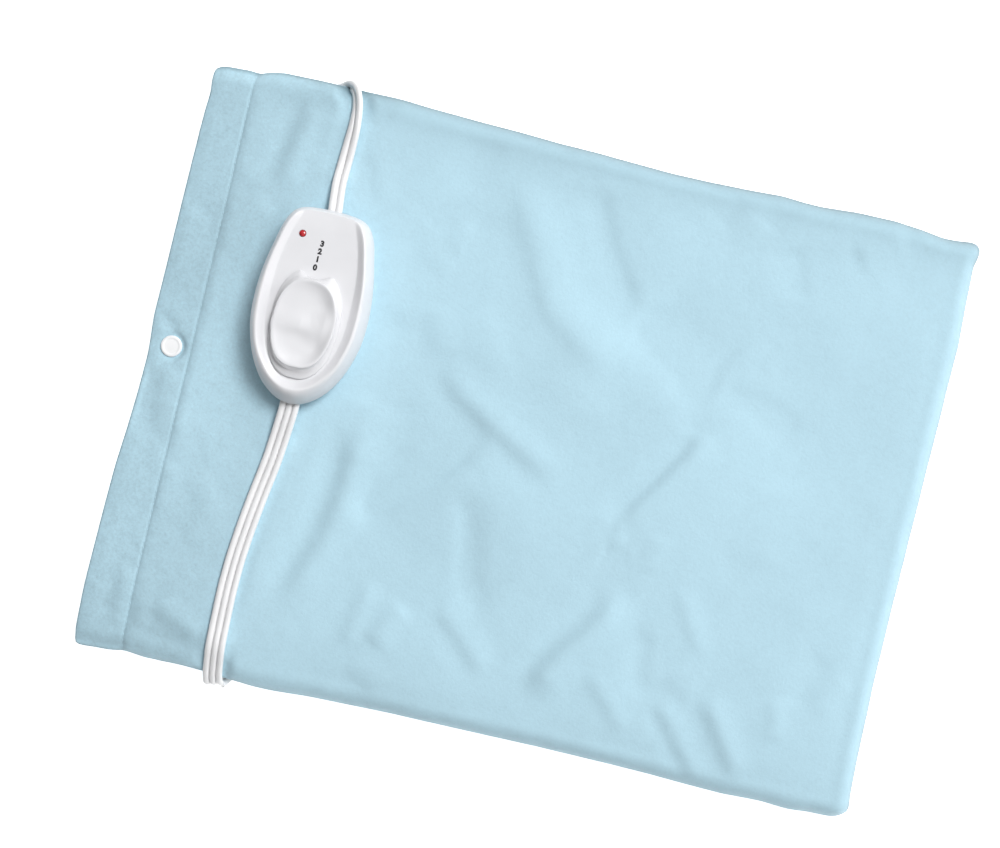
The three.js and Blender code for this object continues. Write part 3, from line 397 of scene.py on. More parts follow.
def plug():
    """Moulded plug: a flat body with rounded shoulders, and a ribbed relief round the cord."""
    sections = [
        (62.0, 2.1, 4.3), (50, 2.8, 4.9), (40, 3.4, 5.8), (38.6, 3.6, 6.4), (37, 4.1, 8.6), (35.2, 4.5, 10.4),
        (33, 4.7, 11.3), (29, 4.8, 11.8), (20, 4.8, 12), (16.2, 4.75, 11.9), (14.7, 4.6, 11.6), (14.1, 4.35, 11.2),
    ]
    xs = [s[0] for s in sections][::-1]
    hz = [s[1] for s in sections][::-1]
    hy = [s[2] for s in sections][::-1]
    rings = []
    angles = np.linspace(0, 2 * math.pi, 56, endpoint=False)
    stations = np.concatenate([np.linspace(62, 38.6, 96), np.linspace(38.4, 33, 14), np.linspace(32, 16, 14), [15.4, 14.9, 14.5, 14.1]])
    for x in stations:
        a, b = np.interp(x, xs, hz), np.interp(x, xs, hy)
        m = np.interp(x, [14, 36, 42, 62], [4.6, 4.2, 3.0, 2.6])
        if 40 < x < 61:
            rib = 0.5 + 0.5 * math.cos((x - 40.6) / 3.2 * 2 * math.pi)
            a, b = a * (1 - 0.16 * rib**0.6), b * (1 - 0.12 * rib**0.6)
        co, si = np.cos(angles), np.sin(angles)
        y = PLUG_Y + b * np.sign(co) * abs(co) ** (2 / m)
        z = PLUG_Z + a * np.sign(si) * abs(si) ** (2 / m)
        rings.append(np.stack([np.full_like(y, x), y, z], 1))
    face = rings[-1].copy()
    inner = face.copy()
    inner[:, 1] = PLUG_Y + (face[:, 1] - PLUG_Y) * 0.97
    inner[:, 2] = PLUG_Z + (face[:, 2] - PLUG_Z) * 0.92
    inner[:, 0] = 14.0
    rings.append(inner)
    return rings_object("plug_moulding", rings, metres, sharp=50)


def strap(name, xc, half_x, yc, half_y, z0=0.0, z1=4.6, t=0.55):
    """A band round a bundle of cord, with softened edges."""
    def outline(d, n=72):
        r = 1.5 - d * 0.6
        hy, hz, zc = half_y - d, (z1 - z0) / 2 - d, (z0 + z1) / 2
        pts = []
        for k in range(n):
            a = 2 * math.pi * k / n
            c, s = math.cos(a), math.sin(a)
            m = 2 / 7.0
            pts.append((yc + hy * math.copysign(abs(c) ** m, c), zc + hz * math.copysign(abs(s) ** m, s)))
        return pts
    loops = [(0.18, -half_x), (0, -half_x + 0.2), (0, half_x - 0.2), (0.18, half_x), (t - 0.1, half_x), (t, half_x - 0.2), (t, -half_x + 0.2), (t - 0.1, -half_x)]
    rings = [[(xc + x, y, z) for y, z in outline(d)] for d, x in loops]
    n = len(rings[0])
    return mesh_object(name, metres(np.vstack(rings)), ring_faces(len(rings), n, closed_path=True), 40, recalc=True)


plug_moulding = plug()
tie_a = strap("tie_upper", 50, 4, 37.85, 15.6)
tie_b = strap("tie_lower", 50, 4, -21.7, 11.75)

# ------------------------------------------------------------------ controller
EGG_HALF = [
    [0, 50.9], [7, 50.7], [12.6, 50.1], [16.6, 49.0], [19.9, 46.7], [22.4, 43.0], [24.4, 38], [26.5, 29], [28.3, 20.5],
    [29.6, 12], [30.3, 3], [30.35, -5], [29.6, -14], [27.9, -21.5], [25.4, -29], [22, -36], [18.4, -41.5],
    [14, -46.1], [9, -49.6], [4, -51.6], [0, -52],
]
RECESS_HALF = [
    [0, 62], [12.5, 61], [14, 50], [15.5, 44], [18.2, 36], [20.3, 27], [21.8, 17], [22.3, 6], [22.2, -5], [21.2, -15],
    [18.9, -24], [15.4, -31.5], [10, -38], [5, -40.7], [0, -41.4],
]
KNOB_HALF = [
    [0, 13.6], [3.5, 14.0], [6.2, 15.4], [8.3, 16.1], [10.8, 14.5], [13.6, 11.1], [15.9, 6.3], [17.3, 0], [17.7, -8],
    [17.4, -16], [16.1, -24], [13.2, -31], [9, -36], [4.5, -38.3], [0, -38.7],
]
TOP_HALF = [
    [0, 12.5], [5, 11.8], [9.4, 9.4], [12.8, 5.1], [15.1, -1], [15.9, -9], [15.3, -17], [13.2, -24.4], [9.5, -29.8],
    [5, -32.4], [0, -33],
]
FACE = 18.6
PINS = [(21.5, 14), (-21.5, 14), (21.5, -17), (-21.5, -17)]
LENS_AT = (-11.7, 34.9)


def mirrored(half, n):
    """A smooth closed outline through one half's points, mirrored over x = 0, counter-clockwise from its top."""
    pts = [(-x, y) for x, y in half] + [(x, y) for x, y in half[-2:0:-1]]
    dense = curve_through(pts, closed=True)
    s = np.concatenate([dense, dense[:1]])
    length = np.concatenate([[0], np.cumsum(np.linalg.norm(np.diff(s, axis=0), axis=1))])
    t = np.linspace(0, length[-1], n + 1)[:-1]
    return np.stack([np.interp(t, length, s[:, k]) for k in range(2)], 1)


def inward(pts, t):
    tan = np.roll(pts, -1, axis=0) - np.roll(pts, 1, axis=0)
    tan /= np.linalg.norm(tan, axis=1)[:, None]
    return pts + t * np.stack([-tan[:, 1], tan[:, 0]], 1)


def distance(points, outline, signed=False):
    """How far each point is from a closed outline; below zero inside it, if signed."""
    points = np.asarray(points, float)
    best = np.full(len(points), 1e9)
    inside = np.zeros(len(points), bool)
    for a, b in zip(outline, np.roll(outline, -1, axis=0)):
        d = b - a
        t = np.clip(((points - a) @ d) / (d @ d), 0, 1)
        best = np.minimum(best, np.linalg.norm(points - (a + t[:, None] * d), axis=1))
        if signed and a[1] != b[1]:
            crosses = (a[1] > points[:, 1]) != (b[1] > points[:, 1])
            xs = a[0] + (points[:, 1] - a[1]) * d[0] / d[1]
            inside ^= crosses & (points[:, 0] < xs)
    return np.where(inside, -best, best) if signed else best


N_RIM = 320
EGG = mirrored(EGG_HALF, N_RIM)
RECESS = mirrored(RECESS_HALF, 200)

# The rim in section, by distance from the outline: full and steep along the sides, sloping at the near end.
RIM_SIDE = curve_through(
    [(0.0, 8.3), (0.08, 9.6), (0.4, 11.6), (1.0, 14.0), (1.8, 16.4), (2.6, 18.5), (3.1, 19.6), (3.55, 20.35), (4.1, 20.8), (4.8, 20.98), (6.0, 21.0), (9.0, 21.0)], fine=12
)
RIM_END = curve_through(
    [(0.0, 8.3), (0.1, 9.4), (0.5, 11.0), (1.25, 13.2), (2.3, 15.6), (3.6, 18.0), (4.8, 19.6), (5.7, 20.4), (6.6, 20.85), (7.6, 21.0), (9.0, 21.0)], fine=12
)


def rim_z(xy, d):
    side = np.interp(d, RIM_SIDE[:, 0], RIM_SIDE[:, 1])
    return side + (np.interp(d, RIM_END[:, 0], RIM_END[:, 1]) - side) * ramp(-24, -44, xy[:, 1])


def soft_min(a, b, k):
    return -k * np.logaddexp(-a / k, -b / k)


def upper_surface(xy, d, z_rim):
    """Height of the upper housing's outside: its rim, and the sunk face that runs out over its far end."""
    y = xy[:, 1]
    face = FACE - 0.0042 * np.maximum(0, y - 37.5) ** 2
    floor = soft_min(face, z_rim, 0.28)
    s = distance(xy, RECESS, signed=True)
    w = 0.45 * ramp(-1.5, 3.5, s) + 0.55 * np.clip((s + 1.1) / 4.2, 0, 1)
    # the rim's two arms sink towards the far end
    rim = z_rim - 0.9 * ramp(30, 50, y) * ramp(15.5, 19.5, z_rim)
    return np.minimum(floor, rim) * (1 - w) + rim * w


def upper_housing():
    outer = resampled(RIM_SIDE[RIM_SIDE[:, 0] <= 5.0], "38")[:, 0]
    rings = []
    for d in outer:
        p = inward(EGG, d)
        d = np.full(len(p), d)
        rings.append(np.column_stack([p, upper_surface(p, d, rim_z(p, d))]))
    base = inward(EGG, 5.0)
    centre = np.array([0.0, -2.0])
    for k in np.linspace(0, 1, 96)[1:-1]:
        p = centre + (base - centre) * (1 - k)
        d = distance(p, EGG)
        rings.append(np.column_stack([p, upper_surface(p, d, rim_z(p, d))]))
    n = N_RIM
    tip = len(rings) * n
    verts = list(np.vstack(rings)) + [np.array([0, -2.0, FACE])]
    faces = ring_faces(len(rings), n)
    last = (len(rings) - 1) * n
    faces += [(last + k, last + (k + 1) % n, tip) for k in range(n)]
    # inside, from the parting line up to a flat ceiling
    inner = [(0.25, 8.3), (2.2, 8.3), (2.4, 10), (2.9, 12), (3.5, 13.6), (4.4, 15.0), (6.4, 16.6)]
    start = len(verts)
    for d, z in inner:
        p = inward(EGG, d)
        verts += list(np.column_stack([p, np.full(n, z)]))
    faces += [tuple(start + i for i in f) for f in ring_faces(len(inner), n)]
    faces += [(k, (k + 1) % n, start + (k + 1) % n, start + k) for k in range(n)]
    end = start + (len(inner) - 1) * n
    ceiling = len(verts)
    verts.append(np.array([0, -2.0, 16.6]))
    faces += [(end + k, end + (k + 1) % n, ceiling) for k in range(n)]
    ob = mesh_object("controller_top", on_controller(verts), faces, 60, recalc=True)
    ob = carved(
        ob,
        [post(x, y, 8.3, 17.2, 3.3) for x, y in PINS]
        + [block(10.4, 12, -29, 19, 14.3, 17), block(-12, -10.4, -29, 19, 14.3, 17)],
        "UNION",
        on_controller,
    )
    return carved(
        ob,
        [post(x, y, 5, 15.6, 1.7) for x, y in PINS]
        + [block(-4.4, 4.4, -16, 9.7, 15, 22), post(*LENS_AT, 15, 22, 1.9, 48)],
        "DIFFERENCE",
        on_controller,
    )


def lower_housing():
    outer = resampled(curve_through([(9.5, 0.0), (4.9, 0.0), (4.1, 0.14), (3.2, 0.75), (1.8, 2.3), (0.6, 4.6), (0.1, 6.6), (0, 8.0)], fine=12), "30")
    inner = [(0.25, 8.0), (2.2, 8.0), (2.4, 5.6), (3.2, 3.6), (4.6, 2.1), (9.5, 2.0)]
    n = N_RIM
    rings = [np.column_stack([inward(EGG, d) if d < 6 else EGG * (1 - d / 34), np.full(n, z)]) for d, z in list(outer) + inner]
    verts = list(np.vstack(rings))
    faces = ring_faces(len(rings), n)
    for k0, z in ((0, 0.0), ((len(rings) - 1) * n, 2.0)):
        c = len(verts)
        verts.append(np.array([0, 0, z]))
        faces += [(k0 + k, k0 + (k + 1) % n, c) for k in range(n)]
    ob = mesh_object("controller_base", on_controller(verts), faces, 50, recalc=True)
    ob = carved(
        ob,
        [post(x, y, 1, 7.9, 3.6) for x, y in PINS]
        + [block(-14, 14, a, b, 1.5, 5.7) for a, b in ((-33, -30.5), (30, 32.5), (-2, 0.5))],
        "UNION",
        on_controller,
    )
    return carved(
        ob,
        [post(x, y, -1, 2.4, 3.0) for x, y in PINS]
        + [post(x, y, 2.3, 10, 1.7) for x, y in PINS]
        + [block(-3.7, 3.7, 44, 60, 3.1, 10), block(-5.5, 5.5, -60, -44, 3.0, 10)],
        "DIFFERENCE",
        on_controller,
    )


def along_line(xy, line):
    """Signed distance of points from an open line, above zero on the side of its left hand, and the share of its length."""
    line = np.asarray(line, float)
    best = np.full(len(xy), 1e9)
    sd, share = np.zeros(len(xy)), np.zeros(len(xy))
    steps = np.linalg.norm(np.diff(line, axis=0), axis=1)
    cum = np.concatenate([[0], np.cumsum(steps)])
    for i, l in enumerate(steps):
        d = (line[i + 1] - line[i]) / l
        rel = xy - line[i]
        t = np.clip(rel @ d, 0, l)
        off = rel - t[:, None] * d
        r = np.linalg.norm(off, axis=1)
        side = rel @ np.array([-d[1], d[0]])
        m = r < best
        best[m] = r[m]
        sd[m] = (np.sign(side) * r)[m]
        share[m] = ((cum[i] + t) / cum[-1])[m]
    return sd, share


def knob():
    """Slider: a skirt with a cradle at its far end, an oval crown, and a dished thumb rest with one ridge across it."""
    n = 240
    skirt, crown = mirrored(KNOB_HALF, n), mirrored(TOP_HALF, n)
    mix = lambda k: skirt + (crown - skirt) * k
    rings = []
    for k, z in curve_through(
        [(0.0, 18.9), (0.0, 19.45), (0.03, 19.75), (0.12, 19.98), (0.32, 20.35), (0.54, 20.95), (0.72, 21.75), (0.87, 22.75), (0.96, 23.5), (1.0, 23.88)], fine=3
    ):
        rings.append(np.column_stack([mix(max(k, 0)), np.full(n, z)]))
    ridge = [(-18, -13.4), (-11.6, -12.8), (-3.8, -12.3), (4.0, -11.9), (8.5, -10.4), (12.0, -8.0), (17.5, -4.6)]
    for d, z in curve_through(
        [(0.35, 24.0), (0.8, 24.02), (1.5, 23.86), (2.5, 23.52), (4.0, 23.1), (6.0, 22.75), (8.0, 22.6)], fine=4
    ):
        rings.append(np.column_stack([inward(crown, d), np.full(n, z)]))
    base, centre = inward(crown, 8.0), np.array([0.0, -10.0])
    for k in np.linspace(0, 1, 26)[1:-1]:
        rings.append(np.column_stack([centre + (base - centre) * (1 - k), np.full(n, 22.6 - 0.12 * math.sin(k * math.pi / 2))]))
    for r in rings[18:]:
        r[:, 2] = 24.0 - (24.0 - r[:, 2]) * (1 - 0.5 * (1 - ramp(-11, 6, r[:, 0])))
        depth = np.clip((24.0 - r[:, 2]) / 1.2, 0, 1) ** 1.2
        q, _ = along_line(r[:, :2], ridge)
        below = 3.8 + 2.6 * ramp(-2, 11, r[:, 0])
        up = np.where(q > 0, np.exp(-((q / 5.6) ** 2)), np.exp(-((q / below) ** 2)))
        r[:, 2] += 1.25 * depth * (up - 0.12)
        # a second, fainter fall above it, and a hollow towards the lower right
        r[:, 2] -= 0.3 * depth * np.exp(-(((r[:, 0] - 8) / 6) ** 2 + ((r[:, 1] - 0.5) / 4) ** 2))
        r[:, 2] -= 0.45 * depth * np.exp(-(((r[:, 0] - 9) / 4.5) ** 2 + ((r[:, 1] + 21) / 4.5) ** 2))
    verts = list(np.vstack(rings))
    faces = ring_faces(len(rings), n)
    tip = len(verts)
    last = (len(rings) - 1) * n
    verts.append(np.array([0, -10.0, rings[-1][:, 2].mean()]))
    faces += [(last + k, last + (k + 1) % n, tip) for k in range(n)]
    # underside, with the stem that goes down through the slot
    hub = len(verts)
    verts.append(np.array([0, -9.5, 18.9]))
    faces += [((k + 1) % n, k, hub) for k in range(n)]
    ob = mesh_object("slider_top", on_controller(verts), faces, 50, recalc=True)
    return carved(ob, [block(-4, 4, -15.6, -3.4, 14.0, 20.0)], "UNION", on_controller)


def numerals():
    """The four positions' numbers, 3 to 0, as a thin black print on the face."""
    parts_v, parts_f = [], []
    for text, (x, y) in zip("3210", [(-0.6, 32.0), (-0.9, 27.9), (-1.2, 23.7), (-1.5, 19.3)]):
        data = bpy.data.curves.new("number", "FONT")
        data.body = text
        data.size = 4.0
        data.align_x = "CENTER"
        data.align_y = "CENTER"
        data.offset = 0.24
        data.extrude = 0.02
        data.resolution_u = 6
        ob = bpy.data.objects.new("number", data)
        bpy.context.scene.collection.objects.link(ob)
        bpy.context.view_layer.update()
        me = bpy.data.meshes.new_from_object(ob.evaluated_get(bpy.context.evaluated_depsgraph_get()))
        co = np.array([v.co for v in me.vertices]).reshape(-1, 3)
        mid = (co.min(0) + co.max(0)) / 2
        co = co - [mid[0], mid[1], 0] + [x, y, FACE + 0.025]
        off = sum(len(v) for v in parts_v)
        parts_f += [tuple(i + off for i in p.vertices) for p in me.polygons]
        parts_v.append(co)
        bpy.data.objects.remove(ob)
        bpy.data.curves.remove(data)
        bpy.data.meshes.remove(me)
    ob = mesh_object("position_numbers", on_controller(np.vstack(parts_v)), parts_f, 30)
    bm = bmesh.new()
    bm.from_mesh(ob.data)
    bmesh.ops.remove_doubles(bm, verts=bm.verts, dist=1e-7)
    bmesh.ops.recalc_face_normals(bm, faces=bm.faces)
    bm.to_mesh(ob.data)
    bm.free()
    return ob


top_shell = upper_housing()
base_shell = lower_housing()
slider_top = knob()
numbers = numerals()
red_lens = turned(
    "indicator_dome",
    [(0, 15.3), (2.9, 15.3), (2.9, 16.3), (1.65, 16.35), (1.65, 18.7), (1.6, 18.86), (1.45, 19.02), (1.2, 19.14), (0.8, 19.24), (0.4, 19.29), (0, 19.3)],
    *LENS_AT,
    on_controller,
    48,
)

# ------------------------------------------------------------------ snap
snap_top = turned(
    "snap_button",
    [(0, 4.35), (0.9, 4.35), (0.9, 6.0), (5.3, 6.0), (5.55, 6.12), (5.62, 6.4), (5.56, 6.68), (5.35, 6.93), (5.0, 7.08),
     (4.6, 7.14), (4.25, 7.12), (4.0, 7.03), (3.8, 6.96), (3.4, 6.94), (2.0, 6.98), (0, 7.0)],
    *SNAP, metres,
)
snap_under = turned(
    "snap_button_under",
    [(0, 0.1), (3.6, 0.1), (3.8, 0.14), (4.1, 0.06), (4.9, 0.06), (5.35, 0.15), (5.6, 0.4), (5.6, 0.62), (5.45, 0.75), (1.0, 0.75), (0.9, 3.3), (0, 3.3)],
    *SNAP, metres,
)
snap_male = turned(
    "snap_stud_part",
    [(1.3, 2.0), (4.45, 2.0), (4.6, 2.12), (4.6, 2.6), (4.45, 2.7), (2.5, 2.75), (2.3, 2.9), (2.5, 3.45), (2.48, 3.7), (2.3, 3.92), (2.0, 4.0), (1.3, 4.0)],
    *SNAP, metres,
)
snap_female = turned(
    "snap_socket_part",
    [(3.35, 3.1), (3.5, 3.0), (4.75, 3.0), (4.9, 3.15), (4.9, 4.5), (4.7, 4.7), (1.3, 4.7), (1.3, 4.3), (3.25, 4.3), (3.4, 4.1), (3.28, 3.4)],
    *SNAP, metres,
)

# ------------------------------------------------------------------ cover
TOP_Y = softened(
    [(-204, 153.1), (-199, 154.9), (-190, 155.4), (-185, 155.65), (-181, 155.1), (-178, 155.95), (-174, 156.85),
     (-168, 157.45), (-160, 157.6), (-150, 157.9), (-140, 158.0), (-130, 157.6), (-120, 157.9), (-100, 158.2), (-90, 157.9),
     (-80, 157.6), (-60, 156.85), (-40, 156.4), (-20, 155.5), (0, 155.2), (20, 154.45), (40, 153.7), (60, 153.85),
     (80, 154.45), (100, 155.5), (110, 154.8), (120, 154.6), (140, 156.1), (160, 156.25), (175, 154.9), (185, 153.4),
     (192, 153.55), (197, 154.15), (200, 154.75), (203, 154.6), (206, 153.9)], 1.6,
)
BOTTOM_Y = softened(
    [(-206, -156.5), (-202, -156.7), (-195, -156.1), (-190, -155.95), (-185, -155.35), (-181, -154.3), (-174, -155.05),
     (-168, -155.5), (-160, -154.9), (-150, -153.85), (-140, -154.2), (-130, -154.4), (-125, -155.2), (-110, -156.1),
     (-100, -156.25), (-90, -155.95), (-80, -155.35), (-60, -154.75), (-40, -154.15), (0, -153.85), (40, -153.4),
     (80, -153.55), (100, -153.85), (120, -154.6), (140, -155.05), (160, -154.15), (175, -155.05), (185, -154),
     (197, -153.7), (200, -153.25), (203, -152.4), (206, -151.6)], 1.6,
)
LEFT_X = softened(
    [(-156, -206.7), (-154, -206.8), (-148, -207.4), (-130, -207.7), (-120, -207.6), (-100, -207.2), (-80, -206.75),
     (-60, -206.15), (-40, -204.95), (-20, -204.05), (0, -203.75), (20, -205.25), (60, -204.8), (100, -204.5),
     (120, -204.2), (130, -203.9), (140, -203.3), (148, -204.2), (152, -204.05), (156, -203.6)], 1.6,
)
RIGHT_X = softened(
    [(-154, 202.5), (-150, 205.8), (-148, 206.7), (-140, 205.5), (-120, 204.75), (-100, 204.45), (-80, 204.0),
     (-40, 204.3), (0, 204.9), (40, 205.5), (60, 205.95), (80, 206.1), (100, 206.55), (120, 205.5), (130, 205.2),
     (142, 204.75), (148, 206.4), (154, 206.6)], 1.6,
)
X0, X1, Y0, Y1 = -205.5, 205.5, -154.8, 155.8  # the grid's own plain outline


def grid_lines(lo, hi, coarse, places):
    """Grid lines from lo to hi: `coarse` apart, and closer near the given (centre, half width, spacing)."""
    places = list(places) + [(lo, 0, 0.3), (hi, 0, 0.3)]
    out = [lo]
    while out[-1] < hi:
        x = out[-1]
        step = min([coarse] + [s + 0.22 * max(0.0, abs(x + s - c) - h) for c, h, s in places])
        out.append(x + max(step, 0.28))
    out = np.array(out)
    return lo + (out - lo) * (hi - lo) / (out[-1] - lo)


def cover_grid(coarse, xs_places, ys_places, turn_left=3.0, turn_right=3.6):
    """Grid points over the pad's outline, with each point's distance from the four edges on the plain grid."""
    gx, gy = np.meshgrid(grid_lines(X0, X1, coarse, xs_places), grid_lines(Y0, Y1, coarse, ys_places), indexing="ij")
    x, y = gx.copy(), gy.copy()
    for _ in range(3):
        x = gx + (LEFT_X(y) - X0) * (1 - ramp(0, 22, gx - X0)) + (RIGHT_X(y) - X1) * (1 - ramp(0, 26, X1 - gx))
        y = gy + (BOTTOM_Y(x) - Y0) * (1 - ramp(0, 28, gy - Y0)) + (TOP_Y(x) - Y1) * (1 - ramp(0, 28, Y1 - gy))
    dl, dr, db, dt = gx - X0, X1 - gx, gy - Y0, Y1 - gy
    for dx, sx, turn in ((dl, 1, turn_left), (dr, -1, turn_right)):
        for dy, sy in ((db, 1), (dt, -1)):
            p, q = np.clip(1 - dx / turn, 0, 1), np.clip(1 - dy / turn, 0, 1)
            x += sx * turn * p * (1 - np.sqrt(1 - q * q / 2))
            y += sy * turn * q * (1 - np.sqrt(1 - p * p / 2))
    return x, y, dl, dr, db, dt


def lift_over_plug(x, y):
    dx = np.maximum(0, abs(x - 27) - 44) / 70
    dy = np.maximum(0, abs(y - 3) - 30) / 55
    d = np.minimum(1, np.hypot(dx, dy))
    return 1 - d * d * (3 - 2 * d)


def pillow(d, reach=11.0, power=0.55):
    t = np.clip(d / reach, 0, 1)
    return (1 - (1 - t) ** 2) ** power


HEM_TOP = softened(
    [(-154, 6.6), (-147, 8.0), (-138, 8.2), (-124, 9.7), (-106, 9.8), (-88, 9.8), (-60, 9.7), (-30, 8.0), (0, 6.6), (155, 6.6)], 5,
)
# Where a cord goes round the pad's edge, the edge is lifted over it.
cord_at_top = lambda x: ramp(-182, -166, x) * (1 - ramp(-111, -86, x))
cord_at_bottom = lambda x: ramp(-164, -150, x) * (1 - ramp(-112, -82, x))

# Folds in the fleece. Each is a line, as pixels of the photograph, and what lies across it, from its left to its right:
# bands (offset from the line, width, tone), in pixels and in levels of light or shade. A shaded band is cloth that
# rises to the right, away from the light, and a light one is cloth that falls to the right.
FOLDS = [
    ([(520, 165), (527, 215), (538, 250), (545, 283), (553, 308), (572, 332), (592, 352), (614, 388)], [(-10, 7, -6), (24, 15, 5), (-26, 12, -1.5)]),
    ([(595, 178), (602, 215), (608, 245), (617, 270), (626, 295), (636, 322)], [(8, 6, -6.5), (28, 16, -3), (-12, 8, 2)]),
    ([(638, 304), (655, 325), (672, 345), (688, 362), (702, 382), (716, 396)], [(10, 8, -4.5), (36, 20, -3.5), (-20, 16, 4)]),
    ([(716, 388), (740, 400), (765, 413), (785, 426), (802, 442)], [(9, 9, -4.5), (-10, 9, 2)]),
    ([(545, 340), (552, 370), (556, 400), (552, 425)], [(-12, 16, -3.5), (16, 14, -2.5)]),
    ([(697, 372), (704, 398), (700, 420), (690, 440)], [(-14, 11, 3), (10, 9, -2)]),
    ([(612, 530), (630, 507), (650, 488), (668, 470), (690, 448), (706, 424)], [(0, 5, -8), (-15, 9, 3), (15, 10, 2)]),
    ([(436, 358), (458, 395), (480, 416), (505, 440), (530, 462), (562, 484)], [(-3, 6.5, -7.5), (15, 9, 4), (-20, 11, 2)]),
    ([(352, 528), (372, 514), (395, 497), (415, 487), (435, 477), (455, 462), (472, 450), (494, 446)], [(2, 7, -6), (-20, 15, 4.5)]),
    ([(461, 484), (465, 520), (466, 550), (465, 580), (475, 602), (488, 622)], [(-7, 5, 4.5), (12, 9, -6), (34, 16, -2.5)]),
    ([(616, 584), (602, 608), (585, 625), (568, 640), (552, 655), (535, 672), (520, 694)], [(0, 6.5, -7.5), (22, 13, 5), (-16, 9, 2.5)]),
    ([(428, 608), (446, 624), (460, 644), (470, 660), (482, 680)], [(-1, 5.5, -7.5), (14, 9, 3.5), (-15, 8, 2)]),
    ([(584, 668), (592, 690), (602, 705), (612, 722), (626, 738)], [(0, 5.5, -6), (13, 8, 3)]),
    ([(650, 698), (664, 725), (673, 745), (684, 765), (696, 786)], [(0, 5, -8.5), (-11, 6, 3.5), (14, 7, 4.5)]),
    ([(698, 694), (708, 720), (716, 740), (725, 762), (737, 786)], [(0, 5.5, -9.5), (15, 8, 5.5)]),
    ([(675, 584), (684, 615), (692, 640), (702, 660)], [(-2, 5, -4.5), (11, 8, 3.5)]),
    ([(657, 634), (646, 656), (647, 680), (654, 700)], [(0, 6, -4), (-16, 10, 3)]),
    ([(662, 672), (672, 688), (690, 704)], [(0, 7, -4)]),
    ([(768, 694), (772, 718), (768, 744)], [(-4, 5, -3.5), (11, 7, 4)]),
    ([(838, 664), (816, 690), (806, 716)], [(0, 10, -3), (-18, 10, 2), (18, 10, 2)]),
    ([(750, 196), (736, 218), (722, 234)], [(0, 7, -2.2), (-14, 9, 0.8)]),
    ([(806, 200), (788, 218), (770, 238)], [(0, 8, -2.4), (-16, 10, 0.9)]),
    ([(905, 226), (878, 236), (848, 250)], [(0, 8, -3.5), (14, 9, 1.5)]),
    ([(799, 244), (802, 272), (806, 304)], [(2, 4.5, -3), (-20, 14, 3)]),
    ([(414, 250), (430, 265), (452, 282)], [(0, 6, -2.5), (12, 9, 1.5)]),
    ([(422, 304), (430, 330), (440, 362)], [(0, 9, -4), (18, 10, 2)]),
    ([(488, 300), (498, 335), (506, 372)], [(0, 9, 3)]),
    ([(388, 392), (380, 440), (372, 474)], [(0, 14, 4.5)]),
    ([(604, 542), (616, 547), (628, 546)], [(0, 4, -3)]),
    ([(650, 530), (645, 552), (640, 574)], [(0, 6, -2.5), (14, 9, 1.5)]),
    ([(366, 644), (385, 622), (404, 602)], [(-4, 6, -3.5), (12, 9, 2.5)]),
    ([(478, 236), (462, 226), (440, 244)], [(0, 7, -2)]),
    ([(314, 96), (301, 122), (290, 148), (272, 188)], [(-2, 7, -8), (13, 8, 3), (-16, 8, 2)]),
    ([(356, 416), (346, 455), (336, 490), (326, 518), (314, 542), (294, 572), (270, 610)], [(0, 7.5, -9), (-20, 11, 4.5), (20, 12, 3.5)]),
    ([(370, 578), (355, 606), (338, 648)], [(0, 5, -4.5), (11, 7, 2)]),
    ([(158, 362), (154, 392), (150, 440)], [(0, 8, -8)]),
    ([(118, 562), (112, 596), (104, 628)], [(0, 5, -6), (12, 6, 2.5)]),
    ([(146, 606), (165, 621), (180, 632), (200, 644)], [(0, 7.5, -9), (14, 7, 3)]),
    ([(136, 596), (134, 612), (128, 628)], [(0, 4.5, -5)]),
    ([(208, 486), (194, 515), (178, 546)], [(0, 8, -2.5)]),
    ([(212, 468), (194, 474), (176, 486)], [(0, 7, -2)]),
    ([(365, 136), (374, 168), (378, 210)], [(0, 5, -4), (12, 7, 2)]),
    ([(382, 300), (400, 319), (414, 334)], [(0, 8, -3.5)]),
    ([(340, 664), (358, 678), (378, 698)], [(0, 6, -4.5)]),
    ([(204, 236), (228, 214), (262, 186)], [(0, 12, -3)]),
    ([(860, 300), (850, 360), (838, 420)], [(0, 16, 1.6)]),
    ([(760, 470), (750, 520), (735, 570)], [(0, 16, -1.6), (34, 18, 1.2)]),
    ([(470, 130), (462, 165), (458, 200)], [(0, 14, 1.6), (30, 12, -2)]),
]
# Shallow valleys: pixels along the line, half width in pixels, depth in mm.
VALLEYS = [([(158, 312), (168, 322), (178, 332)], 6, 0.55)]
LIGHT_WAY = 0.92 * RIGHT_WAY + 0.39 * UP_WAY  # the way over the picture that the light comes from
TONE = 0.030  # slope that makes one level of light or shade
erf = np.vectorize(math.erf)


